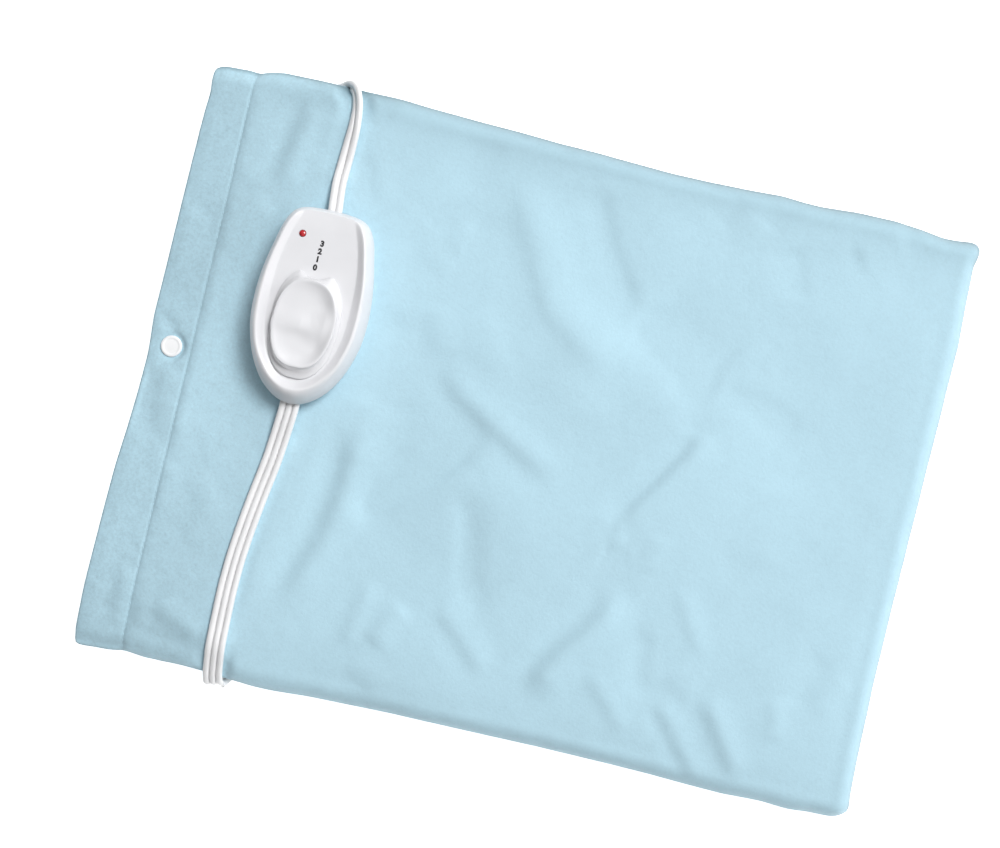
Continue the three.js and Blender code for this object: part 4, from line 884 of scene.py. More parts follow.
def folds(x, y):
    xy = np.column_stack([x.ravel(), y.ravel()])
    dz = np.zeros(len(xy))
    for pixels, bands in FOLDS:
        line = curve_through([seen_at(*p) for p in pixels], fine=6)
        near = ((xy > line.min(0) - 62) & (xy < line.max(0) + 62)).all(1)
        if not near.any():
            continue
        q, share = along_line(xy[near], line)
        d = line[-1] - line[0]
        normal = np.array([-d[1], d[0]]) / np.linalg.norm(d)
        if normal @ RIGHT_WAY < 0:
            q, normal = -q, -normal
        facing = max(0.5, abs(normal @ LIGHT_WAY))
        # what the bands leave over is made up over a broad width
        left = sum(w * tone for _, w, tone in bands)
        middle = sum(o * abs(w * tone) for o, w, tone in bands) / sum(abs(w * tone) for _, w, tone in bands)
        fade = ramp(0, 0.24, share) * ramp(1, 0.76, share)
        inside = fade > 0
        shape = np.zeros(len(q))
        for o, w, tone in bands + [(middle, 34, -left / 34)]:
            o, w = o * 0.51, w * 0.51
            shape[inside] -= tone * w * math.sqrt(math.pi / 2) * erf((q[inside] - o) / (w * math.sqrt(2)))
        dz[near] += TONE / facing * fade * shape
    for pixels, a, depth in VALLEYS:
        line = curve_through([seen_at(*p, z=10) for p in pixels], fine=6)
        q, share = along_line(xy, line)
        a *= 0.51
        fade = ramp(0, 0.25, share) * ramp(1, 0.75, share)
        dz -= depth * fade * (np.exp(-((q / a) ** 2)) - 0.35 * np.exp(-(((abs(q) - 1.9 * a) / (0.9 * a)) ** 2)))
    return dz.reshape(x.shape)


def seated(z, x, y, path, half, thickness):
    """The cloth meets the underside of a cord that lies on it, and keeps clear of it where it goes over the edge."""
    top = path[path[:, 2] > 9.0]
    top = top[np.argmax(top[:, 2] < 22.6) :] if (top[:, 2] > 22.6).any() and top[0, 2] > 22.6 else top
    near = (x > top[:, 0].min() - 18) & (x < top[:, 0].max() + 18) & (y > top[:, 1].min() - 6) & (y < top[:, 1].max() + 6)
    xy = np.column_stack([x[near], y[near]])
    dist = np.linalg.norm(xy[:, None, :] - top[None, :, :2], axis=2)
    k = dist.argmin(1)
    r = dist[np.arange(len(xy)), k]
    under = top[k, 2] - thickness / 2 - 0.03
    zn = z[near]
    gap = under - zn
    raise_w = (1 - ramp(0.5, 1.6, gap)) * (gap > 0)
    w = np.where(gap > 0, raise_w, 1.0) * (1 - ramp(half - 0.4, half + 6.5, r))
    zn = zn + gap * w
    lip = 0.16 * np.exp(-(((r - half - 1.0) / 1.3) ** 2)) * (abs(gap) < 1.6)
    z[near] = zn + lip
    return z


def upper_cloth():
    x, y, dl, dr, db, dt = cover_grid(
        1.75,
        [(SEAM_X, 3.0, 0.6), (SNAP[0], 6.5, 0.8)],
        [(SNAP[1], 6.5, 0.8)],
    )
    in_pad = ramp(SEAM_X - 2.2, SEAM_X + 5.5, x)
    p = lift_over_plug(x, y)
    # the padded part: a long even rise from the stitch line, then level, with rounded edges
    hem = HEM_TOP(y) + 1.1 + 1.1 * ramp(-40, 5, y)
    rise = np.clip((x - SEAM_X) / 47.0, -0.2, 1)
    slope = hem + (17.9 - hem) * (rise + 0.02 * np.sin(math.pi * np.clip(rise, 0, 1))) / 1.0
    slope = soft_min(slope, np.full_like(slope, 17.95), 0.35) + 2.2 * p
    edge = 2.5 + 4.6 * np.maximum(cord_at_top(x) * ramp(26, 8, dt), cord_at_bottom(x) * ramp(26, 8, db))
    z = edge + (slope - edge) * pillow(dt) * pillow(db) * pillow(dr)
    # low swells, stronger towards the middle
    around = np.minimum(np.minimum(dt, db), dr)
    calm = ramp(0, 22, around)
    z += calm * (0.26 * waves(3, x, y, 50) + 0.07 * waves(5, x, y, 18) + 0.02 * waves(8, x, y, 7))
    # the seam allowance inside makes a low bead along the edges, with a shallow dip behind it
    bead = 0.2 * np.exp(-(((around - 5.0) / 2.6) ** 2)) - 0.25 * np.exp(-(((around - 13.5) / 5.0) ** 2))
    z += bead * (1 + 0.35 * waves(13, x, y, 40)) * ramp(SEAM_X + 2, SEAM_X + 20, x)
    # puckers along the side seams
    near_seam = np.exp(-(((around - 3.5) / 3.5) ** 2))
    along = np.where(np.minimum(dt, db) < dr, x, y)
    z += 0.16 * near_seam * waves(11, along, 0.15 * (x + y), 6.5)
    crease = folds(x, y)
    z += (crease + 0.8) * ramp(0.5, 7, around)
    # the insert lies close below
    lowest = 17.2 + 2.2 * p
    held = soft_min(z - lowest, np.full_like(z, 0.0), 0.16)
    z -= held * ramp(8, 16, around) * ramp(SEAM_X + 38, SEAM_X + 50, x)
    # the hem, flat, two layers thick, with its folded edge rounded; it rises a little towards the stitch line
    ends = np.minimum(np.minimum(dt, db), dl)
    h = 1.2 * np.sqrt(np.clip(1 - (1 - np.clip(ends / 1.25, 0, 1)) ** 2, 0, 1))
    droop = (2.3 + 0.9 * ramp(-40, 5, y)) * np.clip(1 - dl / 23.0, 0, 1) + 0.5 * (1 - ramp(0, 7, dl)) + 0.7 * (1 - ramp(0, 9, np.minimum(dt, db)))
    flat = hem - droop + 0.19 * np.maximum(0, x - SEAM_X) + 0.10 * waves(21, x, y, 21) + 0.03 * waves(22, x, y, 7) + crease * ramp(0.5, 5, ends)
    r_snap = np.hypot(x - SNAP[0], y - SNAP[1])
    flat = flat - 0.55 * np.exp(-(((r_snap - 5.0) / 4.5) ** 2)) * (r_snap > 5.0) - 0.55 * (r_snap <= 5.0)
    flat = flat + (5.93 - flat) * (1 - ramp(5.2, 9.0, r_snap))
    # its two sides come down to the lower hem, where the side seams end
    flat = flat - np.maximum(flat - 3.95, 0) * (1 - ramp(0, 8.5, np.minimum(dt, db)))
    hem_z = flat - 1.2 + h
    z = hem_z + (z - hem_z) * in_pad
    # the stitch line pulls the cloth down
    away = x - SEAM_X
    z -= 0.3 * np.exp(-((away / 0.7) ** 2)) * ramp(0.3, 3, np.minimum(dt, db))
    tug = waves(31, y, 0.2 * x, 5.0) * np.exp(-(((abs(away) - 2.4) / 2.0) ** 2))
    z += 0.07 * tug * ramp(1, 4, np.minimum(dt, db))
    # under the controller and the cords
    local = (np.column_stack([x.ravel(), y.ravel()]) - CTRL[:2]) / CTRL_K
    d = np.full(x.size, -99.0)
    near = (abs(local[:, 0]) < 46) & (abs(local[:, 1]) < 68)
    d[near] = -distance(local[near], EGG[::4], signed=True)
    d = d.reshape(x.shape)
    z += (18.24 - z) * ramp(-10, 1.5, d)
    z += 0.42 * np.exp(-(((d - 1.8) / 1.5) ** 2))
    z = seated(z, x, y, mains_bed, 3.6, 3.0)
    z = seated(z, x, y, lead_path, 5.0, 3.3)
    outer = np.stack([x, y, z], 2)
    du, dv = np.gradient(outer, axis=0), np.gradient(outer, axis=1)
    normal = np.cross(du, dv)
    normal /= np.linalg.norm(normal, axis=2)[:, :, None]
    edge_d = around
    thick = 1.15 * np.clip(0.3 + edge_d / 3.2, 0, 1)
    inner_pad = outer - thick[:, :, None] * normal
    inner_hem = outer.copy()
    inner_hem[:, :, 2] -= np.maximum(2 * h, 0.3)
    w = in_pad[:, :, None]
    inner = inner_hem * (1 - w) + inner_pad * w
    inner[:, :, 2] = np.minimum(inner[:, :, 2], outer[:, :, 2] - 0.12)
    # painted light and shade on the cloth's colour: a little darker on the hem's side with two lighter patches on it,
    # painted light beside the seam and just inside the lower edge, painted shade in bands along the lower, upper and
    # right edges, darkest at the very upper and right edges, and a thin painted shade line along the stitch line
    mid = np.exp(-(((y - 6) / 58.0) ** 2))
    nap_and_painted_shade = 1 - 0.045 * (1 - in_pad) + 0.16 * np.exp(-(((db - 2.5) / 3.5) ** 2)) * in_pad + 0.13 * mid * np.exp(-(((x - SEAM_X - 12) / 26.0) ** 2)) * in_pad + (0.05 * mid + 0.05 * np.exp(-(((y + 112) / 40.0) ** 2))) * (1 - in_pad)
    nap_and_painted_shade -= 0.06 * np.exp(-((db / 32.0) ** 2)) + (0.14 * np.exp(-((dt / 20.0) ** 2)) + 0.28 * np.exp(-((dt / 5.0) ** 2))) * ramp(SEAM_X, SEAM_X + 60, x)
    nap_and_painted_shade -= 0.04 * np.exp(-((dr / 9.0) ** 2)) + 0.18 * np.exp(-((dr / 4.0) ** 2))
    nap_and_painted_shade -= 0.45 * np.exp(-((np.minimum(dt, dr) / 1.6) ** 2)) + 0.15 * np.exp(-((np.minimum(db, dl) / 1.2) ** 2))
    nap_and_painted_shade -= 0.05 * np.exp(-((away / 0.8) ** 2))
    nap_and_painted_shade = np.maximum(nap_and_painted_shade, 0.45)
    return outer, inner, nap_and_painted_shade


def closed_sheet(name, top, bottom, there=None):
    """One closed mesh between two matching grids of points, over the cells that are there."""
    nu, nv = top.shape[:2]
    if there is None:
        there = np.ones((nu - 1, nv - 1), bool)
    idx = np.arange(nu * nv).reshape(nu, nv)
    off = nu * nv
    a, b, c, d = idx[:-1, :-1], idx[1:, :-1], idx[1:, 1:], idx[:-1, 1:]
    quads = [np.stack([a, b, c, d], -1)[there], np.stack([a, d, c, b], -1)[there] + off]
    padded = np.pad(there, 1)
    walls = ((a, b, padded[1:-1, :-2]), (b, c, padded[2:, 1:-1]), (c, d, padded[1:-1, 2:]), (d, a, padded[:-2, 1:-1]))
    for p, q, neighbour in walls:
        m = there & ~neighbour
        quads.append(np.stack([p[m] + off, q[m] + off, q[m], p[m]], -1))
    faces = np.vstack(quads)
    verts = np.vstack([top.reshape(-1, 3), bottom.reshape(-1, 3)])
    used = np.unique(faces)
    renumber = np.full(len(verts), -1)
    renumber[used] = np.arange(len(used))
    return mesh_object(name, metres(verts[used]), renumber[faces])


cloth_outer, cloth_inner, cloth_painted_shade = upper_cloth()
cover_top = closed_sheet("cover_top_cloth", cloth_outer, cloth_inner)

# The lower panel follows what it lies on: the floor along its edges, and the stowed cord between them.
COLS = [-205, -193, SEAM_X, -166, -150, -128, -110, -90, -60, -30, 0, 30, 60, 90, 120, 150, 174, 188, 198, 205]
ROWS = [-154, -147, -138, -124, -106, -88, -60, -30, 0, 30, 60, 90, 115, 138, 147, 155]


def under_height(i, j):
    X, Y = COLS[i], ROWS[j]
    last_i, last_j = len(COLS) - 1, len(ROWS) - 1
    z = 4.9 + 5.0 * float(lift_over_plug(np.array(float(X)), np.array(float(Y))))
    if j <= 1 or j >= last_j - 1 or i >= last_i - 1:
        z = 0.0
        if j >= last_j - 1 and -166 <= X <= -110:
            z = 5.2
        if j <= 1 and -150 <= X <= (-110 if j == 0 else -90):
            z = 5.2
    mouth = -124 <= Y <= -88 and X <= -128
    if i <= 2:
        z = 3.9 if -88 <= Y <= -40 else 0.0
    if i == 2 and Y == -30:
        z = 2.0
    if mouth and i == 3:
        z = 3.9 if Y == -88 else 0.0
    if mouth and i == 4:
        z = 4.4 if Y == -88 else 1.5
    if mouth and i == 5:
        z = 4.9 if Y == -88 else 3.4
    return z


def lower_cloth():
    x, y, dl, dr, db, dt = cover_grid(
        2.4, [(SEAM_X, 1.0, 0.9), (SNAP[0], 6.5, 1.0)], [(SNAP[1], 6.5, 1.0), (-88, 2, 1.0), (-124, 2, 1.0)]
    )
    levels = np.array([[under_height(i, j) for j in range(len(ROWS))] for i in range(len(COLS))])
    ix = np.interp(x, COLS, np.arange(len(COLS)))
    iy = np.interp(y, ROWS, np.arange(len(ROWS)))
    i0, j0 = np.clip(ix.astype(int), 0, len(COLS) - 2), np.clip(iy.astype(int), 0, len(ROWS) - 2)
    u, v = ix - i0, iy - j0
    low = (
        levels[i0, j0] * (1 - u) * (1 - v) + levels[i0 + 1, j0] * u * (1 - v)
        + levels[i0, j0 + 1] * (1 - u) * v + levels[i0 + 1, j0 + 1] * u * v
    )
    side = np.minimum(np.minimum(dt, db), dr)
    low += ramp(9, 20, side) * ramp(SEAM_X + 4, SEAM_X + 30, x) * (0.16 * waves(41, x, y, 30) + 0.05 * waves(42, x, y, 11))
    in_pad = ramp(SEAM_X - 2.2, SEAM_X + 5.5, x)
    roll = 2.25 * (1 - np.sqrt(np.clip(1 - (1 - np.clip(side / 3.2, 0, 1)) ** 2, 0, 1)))
    ends = np.minimum(np.minimum(dt, db), dl)
    h = 1.2 * np.sqrt(np.clip(1 - (1 - np.clip(ends / 1.25, 0, 1)) ** 2, 0, 1))
    # the notch that lets the lead in: how far each point is from it, and which points lie in it
    notch_d = np.hypot(np.maximum(0, np.maximum(-124 - y, y + 88)), np.maximum(0, x + 166))
    in_notch = (x < -166) & (y > -124) & (y < -88)
    roll_hem = 1.2 - h
    low_s = low + roll_hem * (1 - in_pad) + roll * in_pad
    r_snap = np.hypot(x - SNAP[0], y - SNAP[1])
    low_s = low_s + (np.maximum(low_s, 0.8) - low_s) * (1 - ramp(5.6, 6.6, r_snap))
    thick = (2 * h) * (1 - in_pad) + 1.6 * np.clip(0.25 + side / 3.2, 0, 1) * in_pad
    # along the seam line, thinner where it is stitched
    thick -= 0.5 * np.exp(-(((x - SEAM_X) / 1.2) ** 2)) * (thick > 1.2)
    thick = np.maximum(thick, 0.3)
    high = low_s + thick
    high = high + (np.minimum(high, 1.95) - high) * (1 - ramp(5.2, 6.2, r_snap))
    cx = (x[:-1, :-1] + x[1:, :-1] + x[1:, 1:] + x[:-1, 1:]) / 4
    cy = (y[:-1, :-1] + y[1:, :-1] + y[1:, 1:] + y[:-1, 1:]) / 4
    corner = np.hypot(np.maximum(0, cx + 170), 0)
    mid = abs(cy + 106)
    there = ~((cx < -166) & (mid < 18) & ~((cx > -170) & (np.hypot(cx + 170, mid - 14) > 4.2) & (mid > 14)))
    return np.stack([x, y, high], 2), np.stack([x, y, low_s], 2), there


lower_high, lower_low, lower_there = lower_cloth()
cover_under = closed_sheet("cover_under_cloth", lower_high, lower_low, lower_there)


def hem_stitches():
    """The lockstitches of the hem: short lengths of thread that sink into the cloth at their ends."""
    i = int(abs(cloth_outer[:, cloth_outer.shape[1] // 2, 0] - SEAM_X).argmin())
    ys, zs, xs = cloth_outer[i, :, 1], cloth_outer[i, :, 2], cloth_outer[i, :, 0]
    verts, faces = [], []
    n, pitch, length, r = 8, 3.3, 2.2, 0.2
    for k, y in enumerate(np.arange(-151.5, 153, pitch)):
        for s in np.linspace(0, 1, 7):
            yy = y + (s - 0.5) * length
            dip = 0.42 * abs(2 * s - 1) ** 2.5
            rr = r * (1 - 0.35 * abs(2 * s - 1) ** 3)
            cz = np.interp(yy, ys, zs) + 0.05 - dip
            cx = np.interp(yy, ys, xs) + 0.05 * math.sin(k * 1.7)
            for a in np.linspace(0, 2 * math.pi, n, endpoint=False):
                verts.append((cx + rr * 1.15 * math.cos(a), yy, cz + rr * math.sin(a)))
        b = k * 7 * n
        faces += [tuple(b + f for f in q) for q in ring_faces(7, n)]
        faces += [tuple(b + q for q in reversed(range(n))), tuple(b + 6 * n + q for q in range(n))]
    return mesh_object("hem_stitches", metres(verts), faces, recalc=True)


stitches = hem_stitches()


# ------------------------------------------------------------------ materials
class Finish:
    """A material's nodes, with short calls for those that it needs."""

    def __init__(self, name, **values):
        self.mat = bpy.data.materials.new(name)
        self.mat.use_nodes = True
        self.tree = self.mat.node_tree
        self.shader = self.tree.nodes["Principled BSDF"]
        for key, value in values.items():
            socket = self.shader.inputs[key.replace("_", " ")]
            socket.default_value = (*value, 1.0) if isinstance(value, tuple) and len(value) == 3 and socket.type == "RGBA" else value
        self.place = self.tree.nodes.new("ShaderNodeTexCoord").outputs["Object"]
        self.mat.diffuse_color = self.shader.inputs["Base Color"].default_value

    def stretched(self, x=1, y=1, z=1):
        m = self.tree.nodes.new("ShaderNodeMapping")
        m.inputs["Scale"].default_value = (x, y, z)
        self.tree.links.new(self.place, m.inputs["Vector"])
        return m.outputs["Vector"]

    def noise(self, size, detail=3.0, rough=0.55, distortion=0.0, at=None):
        """Noise with lumps about `size` millimetres across."""
        n = self.tree.nodes.new("ShaderNodeTexNoise")
        n.inputs["Scale"].default_value = 500.0 / size
        n.inputs["Detail"].default_value = detail
        n.inputs["Roughness"].default_value = rough
        n.inputs["Distortion"].default_value = distortion
        self.tree.links.new(at or self.place, n.inputs["Vector"])
        return n.outputs["Fac"]

    def math(self, kind, a, b):
        m = self.tree.nodes.new("ShaderNodeMath")
        m.operation = kind
        for k, v in enumerate((a, b)):
            if isinstance(v, (int, float)):
                m.inputs[k].default_value = v
            else:
                self.tree.links.new(v, m.inputs[k])
        return m.outputs[0]

    def colours(self, fac, stops):
        r = self.tree.nodes.new("ShaderNodeValToRGB")
        r.color_ramp.interpolation = "EASE"
        while len(r.color_ramp.elements) < len(stops):
            r.color_ramp.elements.new(0.5)
        for e, (at, c) in zip(r.color_ramp.elements, stops):
            e.position = at
            e.color = (*c, 1)
        self.tree.links.new(fac, r.inputs["Fac"])
        return r.outputs["Color"]

    def between(self, fac, lo, hi, out_lo, out_hi):
        m = self.tree.nodes.new("ShaderNodeMapRange")
        for k, v in zip(("From Min", "From Max", "To Min", "To Max"), (lo, hi, out_lo, out_hi)):
            m.inputs[k].default_value = v
        self.tree.links.new(fac, m.inputs["Value"])
        return m.outputs["Result"]

    def mixed(self, kind, fac, a, b):
        m = self.tree.nodes.new("ShaderNodeMix")
        m.data_type = "RGBA"
        m.blend_type = kind
        if isinstance(fac, (int, float)):
            m.inputs["Factor"].default_value = fac
        else:
            self.tree.links.new(fac, m.inputs["Factor"])
        for k, v in ((6, a), (7, b)):
            if isinstance(v, tuple):
                m.inputs[k].default_value = (*v, 1)
            else:
                self.tree.links.new(v, m.inputs[k])
        return m.outputs[2]

    def bump(self, height, depth, strength=1.0):
        """Raises the surface by up to `depth` millimetres."""
        b = self.tree.nodes.new("ShaderNodeBump")
        b.inputs["Strength"].default_value = strength
        b.inputs["Distance"].default_value = depth * MM
        self.tree.links.new(height, b.inputs["Height"])
        self.tree.links.new(b.outputs["Normal"], self.shader.inputs["Normal"])

    def set(self, socket, output):
        self.tree.links.new(output, self.shader.inputs[socket])


def shade(c, k):
    return tuple(min(1.0, v * k) for v in c)


def set_painted_shade_and_plush(ob, light):
    """Keeps the painted light and shade, and how rough the nap stands, at each point of a cloth, for its material."""
    x = np.array([v.co.x for v in ob.data.vertices]) / MM
    rough = 0.34 + 0.42 * (1 - ramp(SEAM_X + 20, -88, x)) + 0.16 * (1 - ramp(SEAM_X - 4, SEAM_X + 6, x))
    for name, values in (("nap_and_painted_shade", light), ("plush", rough)):
        layer = ob.data.attributes.new(name, "FLOAT", "POINT")
        layer.data.foreach_set("value", np.asarray(values, "f"))


def fleece(name, base):
    f = Finish(name, Base_Color=base, Roughness=0.95, Sheen_Weight=0.18, Sheen_Roughness=0.45, Specular_IOR_Level=0.12)
    nap_and_painted_shade, clumps, drift = f.noise(0.8, 4, 0.65), f.noise(2.6, 3, 0.6, 0.4), f.noise(34, 2, 0.5)
    blend = f.math("ADD", f.math("MULTIPLY", nap_and_painted_shade, 0.52), f.math("ADD", f.math("MULTIPLY", clumps, 0.28), f.math("MULTIPLY", drift, 0.20)))
    colour = f.colours(blend, [(0.30, shade(base, 0.73)), (0.42, shade(base, 0.91)), (0.54, shade(base, 1.0)), (0.68, shade(base, 1.12))])
    plush = f.tree.nodes.new("ShaderNodeAttribute")
    plush.attribute_name = "plush"
    colour = f.mixed("MIX", plush.outputs["Fac"], shade(base, 0.985), colour)
    # the base colour is multiplied by the painted light and shade kept on the cloth
    light = f.tree.nodes.new("ShaderNodeAttribute")
    light.attribute_name = "nap_and_painted_shade"
    f.set("Base Color", f.mixed("MULTIPLY", 1.0, colour, light.outputs["Fac"]))
    f.bump(f.math("ADD", f.math("MULTIPLY", nap_and_painted_shade, 0.6), f.math("MULTIPLY", clumps, 0.4)), 0.4, 0.5)
    return f.mat


def moulded(name, base, rough=0.26, grain=0.9, depth=0.02, **more):
    f = Finish(name, Base_Color=base, Roughness=rough, **more)
    fine, broad = f.noise(grain, 3, 0.5), f.noise(9, 2, 0.5)
    f.set("Base Color", f.colours(broad, [(0.3, shade(base, 0.975)), (0.7, shade(base, 1.01))]))
    f.set("Roughness", f.between(fine, 0.3, 0.7, rough * 0.85, rough * 1.2))
    f.bump(fine, depth, 0.5)
    return f.mat


FLEECE_BLUE = (0.462, 0.668, 0.766)
M = {
    "fleece": fleece("fleece", FLEECE_BLUE),
    "thread": moulded("thread", shade(FLEECE_BLUE, 0.94), 0.7, 0.35, 0.05),
    "housing": moulded("housing", (0.735, 0.735, 0.755), 0.36, 0.8, 0.012),
    "knob": moulded("knob", (0.725, 0.725, 0.745), 0.36, 0.7, 0.012),
    "snap_plastic": moulded("snap_plastic", (0.92, 0.92, 0.925), 0.34, 0.8, 0.01),
    "white_moulding": moulded("white_moulding", (0.84, 0.84, 0.84), 0.38, 0.6, 0.02),
    "cord_vinyl": moulded("cord_vinyl", (0.80, 0.80, 0.805), 0.34, 0.5, 0.02),
    "plug_vinyl": moulded("plug_vinyl", (0.84, 0.84, 0.845), 0.36, 0.6, 0.03),
    "print": moulded("print", (0.02, 0.02, 0.022), 0.5, 0.3, 0.005),
    "dark_plastic": moulded("dark_plastic", (0.035, 0.036, 0.042), 0.45, 0.6, 0.02),
    "tie": moulded("tie", (0.045, 0.045, 0.05), 0.6, 0.35, 0.08),
    "board": moulded("board", (0.26, 0.14, 0.05), 0.55, 0.4, 0.02),
    "resistor": moulded("resistor", (0.62, 0.50, 0.33), 0.5, 0.4, 0.02),
    "lamp_glass": moulded("lamp_glass", (0.95, 0.62, 0.42), 0.08, 1.0, 0.004, Transmission_Weight=0.7, IOR=1.5),
}


def metal(name, base, rough, across):
    f = Finish(name, Base_Color=base, Metallic=1.0, Roughness=rough)
    lines = f.noise(1.2, 4, 0.6, at=f.stretched(*across))
    f.set("Roughness", f.between(lines, 0.3, 0.7, rough * 0.75, rough * 1.35))
    f.set("Base Color", f.colours(lines, [(0.25, shade(base, 0.9)), (0.75, shade(base, 1.04))]))
    f.bump(lines, 0.01, 0.4)
    return f.mat


M["steel"] = metal("steel", (0.62, 0.63, 0.65), 0.3, (1, 1, 1))
M["blade_metal"] = metal("blade_metal", (0.74, 0.72, 0.66), 0.24, (0.15, 1, 1))
M["contact_brass"] = metal("contact_brass", (0.78, 0.58, 0.27), 0.28, (1, 0.3, 1))


def lens_red():
    f = Finish("red_lens", Base_Color=(0.62, 0.012, 0.02), Roughness=0.1, Coat_Weight=0.6, Coat_Roughness=0.05, Transmission_Weight=0.25, IOR=1.49)
    n = f.noise(1.2, 2, 0.5)
    f.set("Base Color", f.colours(n, [(0.3, (0.42, 0.006, 0.012)), (0.7, (0.74, 0.03, 0.04))]))
    f.bump(n, 0.01, 0.3)
    return f.mat


def batting():
    f = Finish("batting", Base_Color=(0.86, 0.85, 0.80), Roughness=1.0, Sheen_Weight=0.3)
    a, b = f.noise(0.7, 5, 0.7, 1.2), f.noise(7, 3, 0.6)
    f.set("Base Color", f.colours(a, [(0.3, (0.72, 0.71, 0.66)), (0.65, (0.9, 0.89, 0.85))]))
    f.bump(f.math("ADD", a, b), 0.9, 0.8)
    return f.mat


def vinyl():
    f = Finish("envelope_vinyl", Base_Color=(0.80, 0.79, 0.72), Roughness=0.32, Coat_Weight=0.2)
    a, b = f.noise(14, 3, 0.55, 0.8), f.noise(1.4, 3, 0.6)
    f.set("Base Color", f.colours(b, [(0.3, (0.76, 0.75, 0.68)), (0.7, (0.83, 0.82, 0.76))]))
    f.bump(f.math("ADD", f.math("MULTIPLY", a, 0.8), f.math("MULTIPLY", b, 0.2)), 0.8, 0.6)
    return f.mat


def wire():
    f = Finish("heating_wire", Base_Color=(0.66, 0.55, 0.38), Roughness=0.55)
    a = f.noise(0.5, 2, 0.5, at=f.stretched(1, 1, 1))
    f.set("Base Color", f.colours(a, [(0.3, (0.52, 0.42, 0.27)), (0.7, (0.74, 0.63, 0.45))]))
    f.bump(a, 0.12, 0.8)
    return f.mat


M.update(red_lens=lens_red(), batting=batting(), envelope_vinyl=vinyl(), heating_wire=wire())


def finish(ob, slot, material=None):
    ob.data.materials.clear()
    ob.data.materials.append(M[material or slot])
    return ob


NODE_SLOTS = {
    "envelope_vinyl": ["envelope_lower", "envelope_upper"],
    "batting": ["batting_lower", "batting_upper"],
    "heating_wire": ["element_a_1", "element_a_2", "element_b_1", "element_b_2", "return_wire"],
    "dark_plastic": ["thermostat_a", "thermostat_b", "slide_carrier", "junction_block"],
    "white_moulding": ["return_crimp", "pad_strain_relief", "mains_cord_clamp", "lead_cord_clamp"],
    "steel": ["housing_screw_1", "housing_screw_2", "housing_screw_3", "housing_screw_4", "detent_spring"],
    "board": ["contact_board"],
    "contact_brass": ["common_contact", "contact_1", "contact_2", "contact_3", "bridge_contact"],
    "lamp_glass": ["indicator_lamp"],
    "resistor": ["lamp_resistor"],
    "blade_metal": ["plug_blade_1", "plug_blade_2"],
}
for slot, names in NODE_SLOTS.items():
    for name in names:
        ob = frame["nodes"][name]
        ob.data.materials.clear()
        ob.data.materials.append(M[slot])

# painted light and shade on the upper cloth; the lower cloth gets one even tone
set_painted_shade_and_plush(cover_top, np.concatenate([cloth_painted_shade.ravel(), cloth_painted_shade.ravel()]))
set_painted_shade_and_plush(cover_under, np.full(len(cover_under.data.vertices), 0.96))

# ------------------------------------------------------------------ what each piece is and moves with
PIECES = [
    (mains, "cord_vinyl", "pad", ["mains_cord", "mains_cord_hank", "mains_cord_tail"]),
    (lead, "cord_vinyl", "pad", ["controller_lead"]),
    (plug_moulding, "plug_vinyl", "pad", ["plug_body"]),
    (tie_a, "tie", "pad", ["hank_tie_1"]),
    (tie_b, "tie", "pad", ["hank_tie_2"]),
    (top_shell, "housing", "pad", ["controller_upper_housing"]),
    (base_shell, "housing", "pad", ["controller_lower_housing"]),
    (slider_top, "knob", "slider", ["slider_knob"]),
    (red_lens, "red_lens", "pad", ["lamp_lens"]),
    (snap_top, "snap_plastic", "hem_flap", ["snap_cap"]),
    (snap_female, "snap_plastic", "hem_flap", ["snap_socket"]),
    (snap_under, "snap_plastic", "pad", ["snap_back_cap"]),
    (snap_male, "snap_plastic", "pad", ["snap_stud"]),
    (cover_under, "fleece", "pad", ["cover_lower_panel"]),
]
for ob, slot, body, nodes in PIECES:
    finish(ob, slot)
    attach(ob, body)
    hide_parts(*nodes)
finish(numbers, "housing", "print")
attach(numbers, "pad")
finish(cover_top, "fleece")
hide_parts("cover_upper_panel", "cover_upper_hem")
finish(stitches, "fleece", "thread")
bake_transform(cover_top)
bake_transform(stitches)

nodes = frame["nodes"]

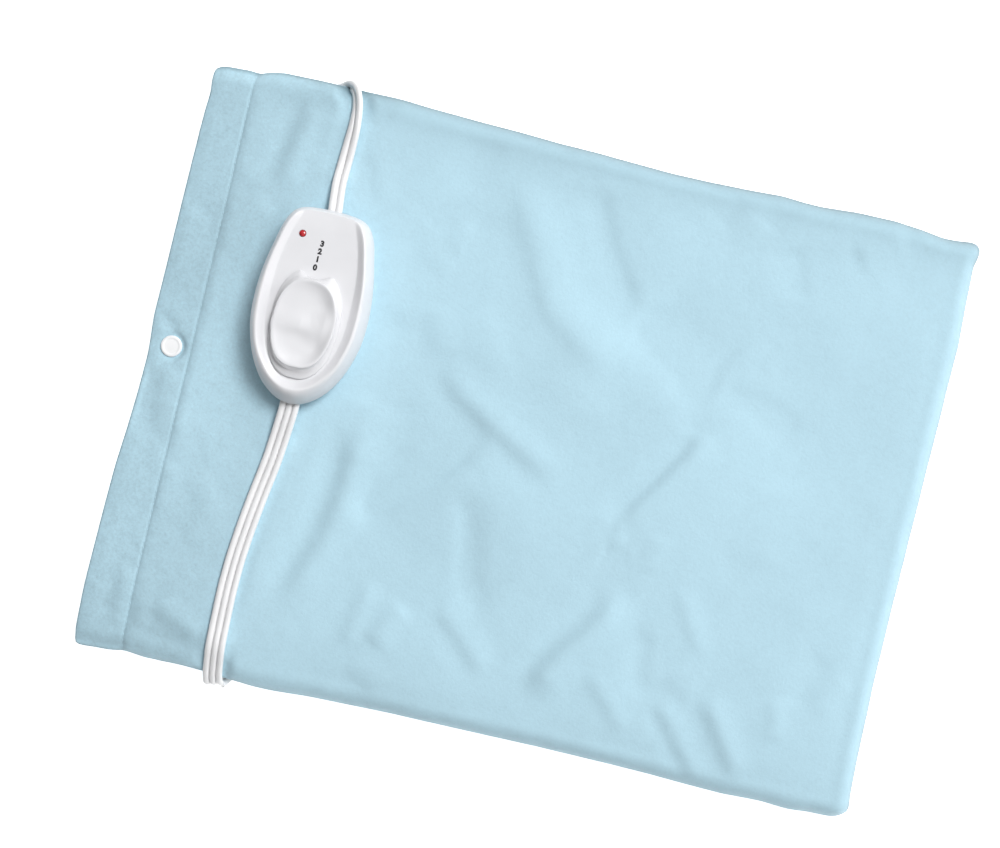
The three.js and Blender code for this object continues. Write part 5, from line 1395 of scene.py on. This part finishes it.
# ------------------------------------------------------------------ floor and light
floor_mat = bpy.data.materials.new("studio_floor")
floor_mat.use_nodes = True
floor_shader = floor_mat.node_tree.nodes["Principled BSDF"]
floor_shader.inputs["Base Color"].default_value = (0.93, 0.93, 0.93, 1)
floor_shader.inputs["Roughness"].default_value = 0.9
floor_shader.inputs["Specular IOR Level"].default_value = 0.1
floor_shader.inputs["Emission Color"].default_value = (1, 1, 1, 1)
floor_shader.inputs["Emission Strength"].default_value = 0.8
floor = mesh_object(
    "floor", [(3 * math.cos(a), 3 * math.sin(a), -0.00015) for a in np.linspace(0, 2 * math.pi, 96, endpoint=False)], [tuple(range(96))]
)
floor.data.materials.append(floor_mat)


def softbox(name, towards, elevation, distance_m, size, watts, colour=(1, 1, 1)):
    """A soft light of this width and height: `towards` is its way over the picture as (right, up)."""
    flat = towards[0] * RIGHT_WAY + towards[1] * UP_WAY
    flat /= np.linalg.norm(flat)
    e = math.radians(elevation)
    way = Vector((flat[0] * math.cos(e), flat[1] * math.cos(e), math.sin(e)))
    data = bpy.data.lights.new(name, "AREA")
    data.shape = "RECTANGLE"
    data.size, data.size_y = size
    data.energy = watts
    data.color = colour
    ob = bpy.data.objects.new(name, data)
    ob.location = way * distance_m
    ob.rotation_euler = (-way).to_track_quat("-Z", "Y").to_euler()
    bpy.context.scene.collection.objects.link(ob)


softbox("key", (0.76, 0.65), 57, 4.2, (1.4, 1.4), 134)
softbox("side", (1.0, 0.0), 25, 4.2, (5.0, 2.2), 32)

world = bpy.data.worlds.new("studio")
world.use_nodes = True
world.node_tree.nodes["Background"].inputs["Color"].default_value = (0.98, 0.99, 1.0, 1)
# brighter towards the lights, dim along the left
nodes, links = world.node_tree.nodes, world.node_tree.links
glow_way = Vector((*(0.55 * RIGHT_WAY + 0.1 * UP_WAY), 0.83)).normalized()
where = nodes.new("ShaderNodeTexCoord")
facing = nodes.new("ShaderNodeVectorMath")
facing.operation = "DOT_PRODUCT"
facing.inputs[1].default_value = glow_way
links.new(where.outputs["Generated"], facing.inputs[0])
glow = facing.outputs["Value"]
for operation, amount in (("MAXIMUM", 0.0), ("POWER", 2.0), ("MULTIPLY", 0.93), ("ADD", 0.035)):
    step = nodes.new("ShaderNodeMath")
    step.operation = operation
    step.inputs[1].default_value = amount
    links.new(glow, step.inputs[0])
    glow = step.outputs[0]
links.new(glow, nodes["Background"].inputs["Strength"])
bpy.context.scene.world = world
bpy.context.scene.view_settings.view_transform = "Standard"
bpy.context.scene.view_settings.look = "None"
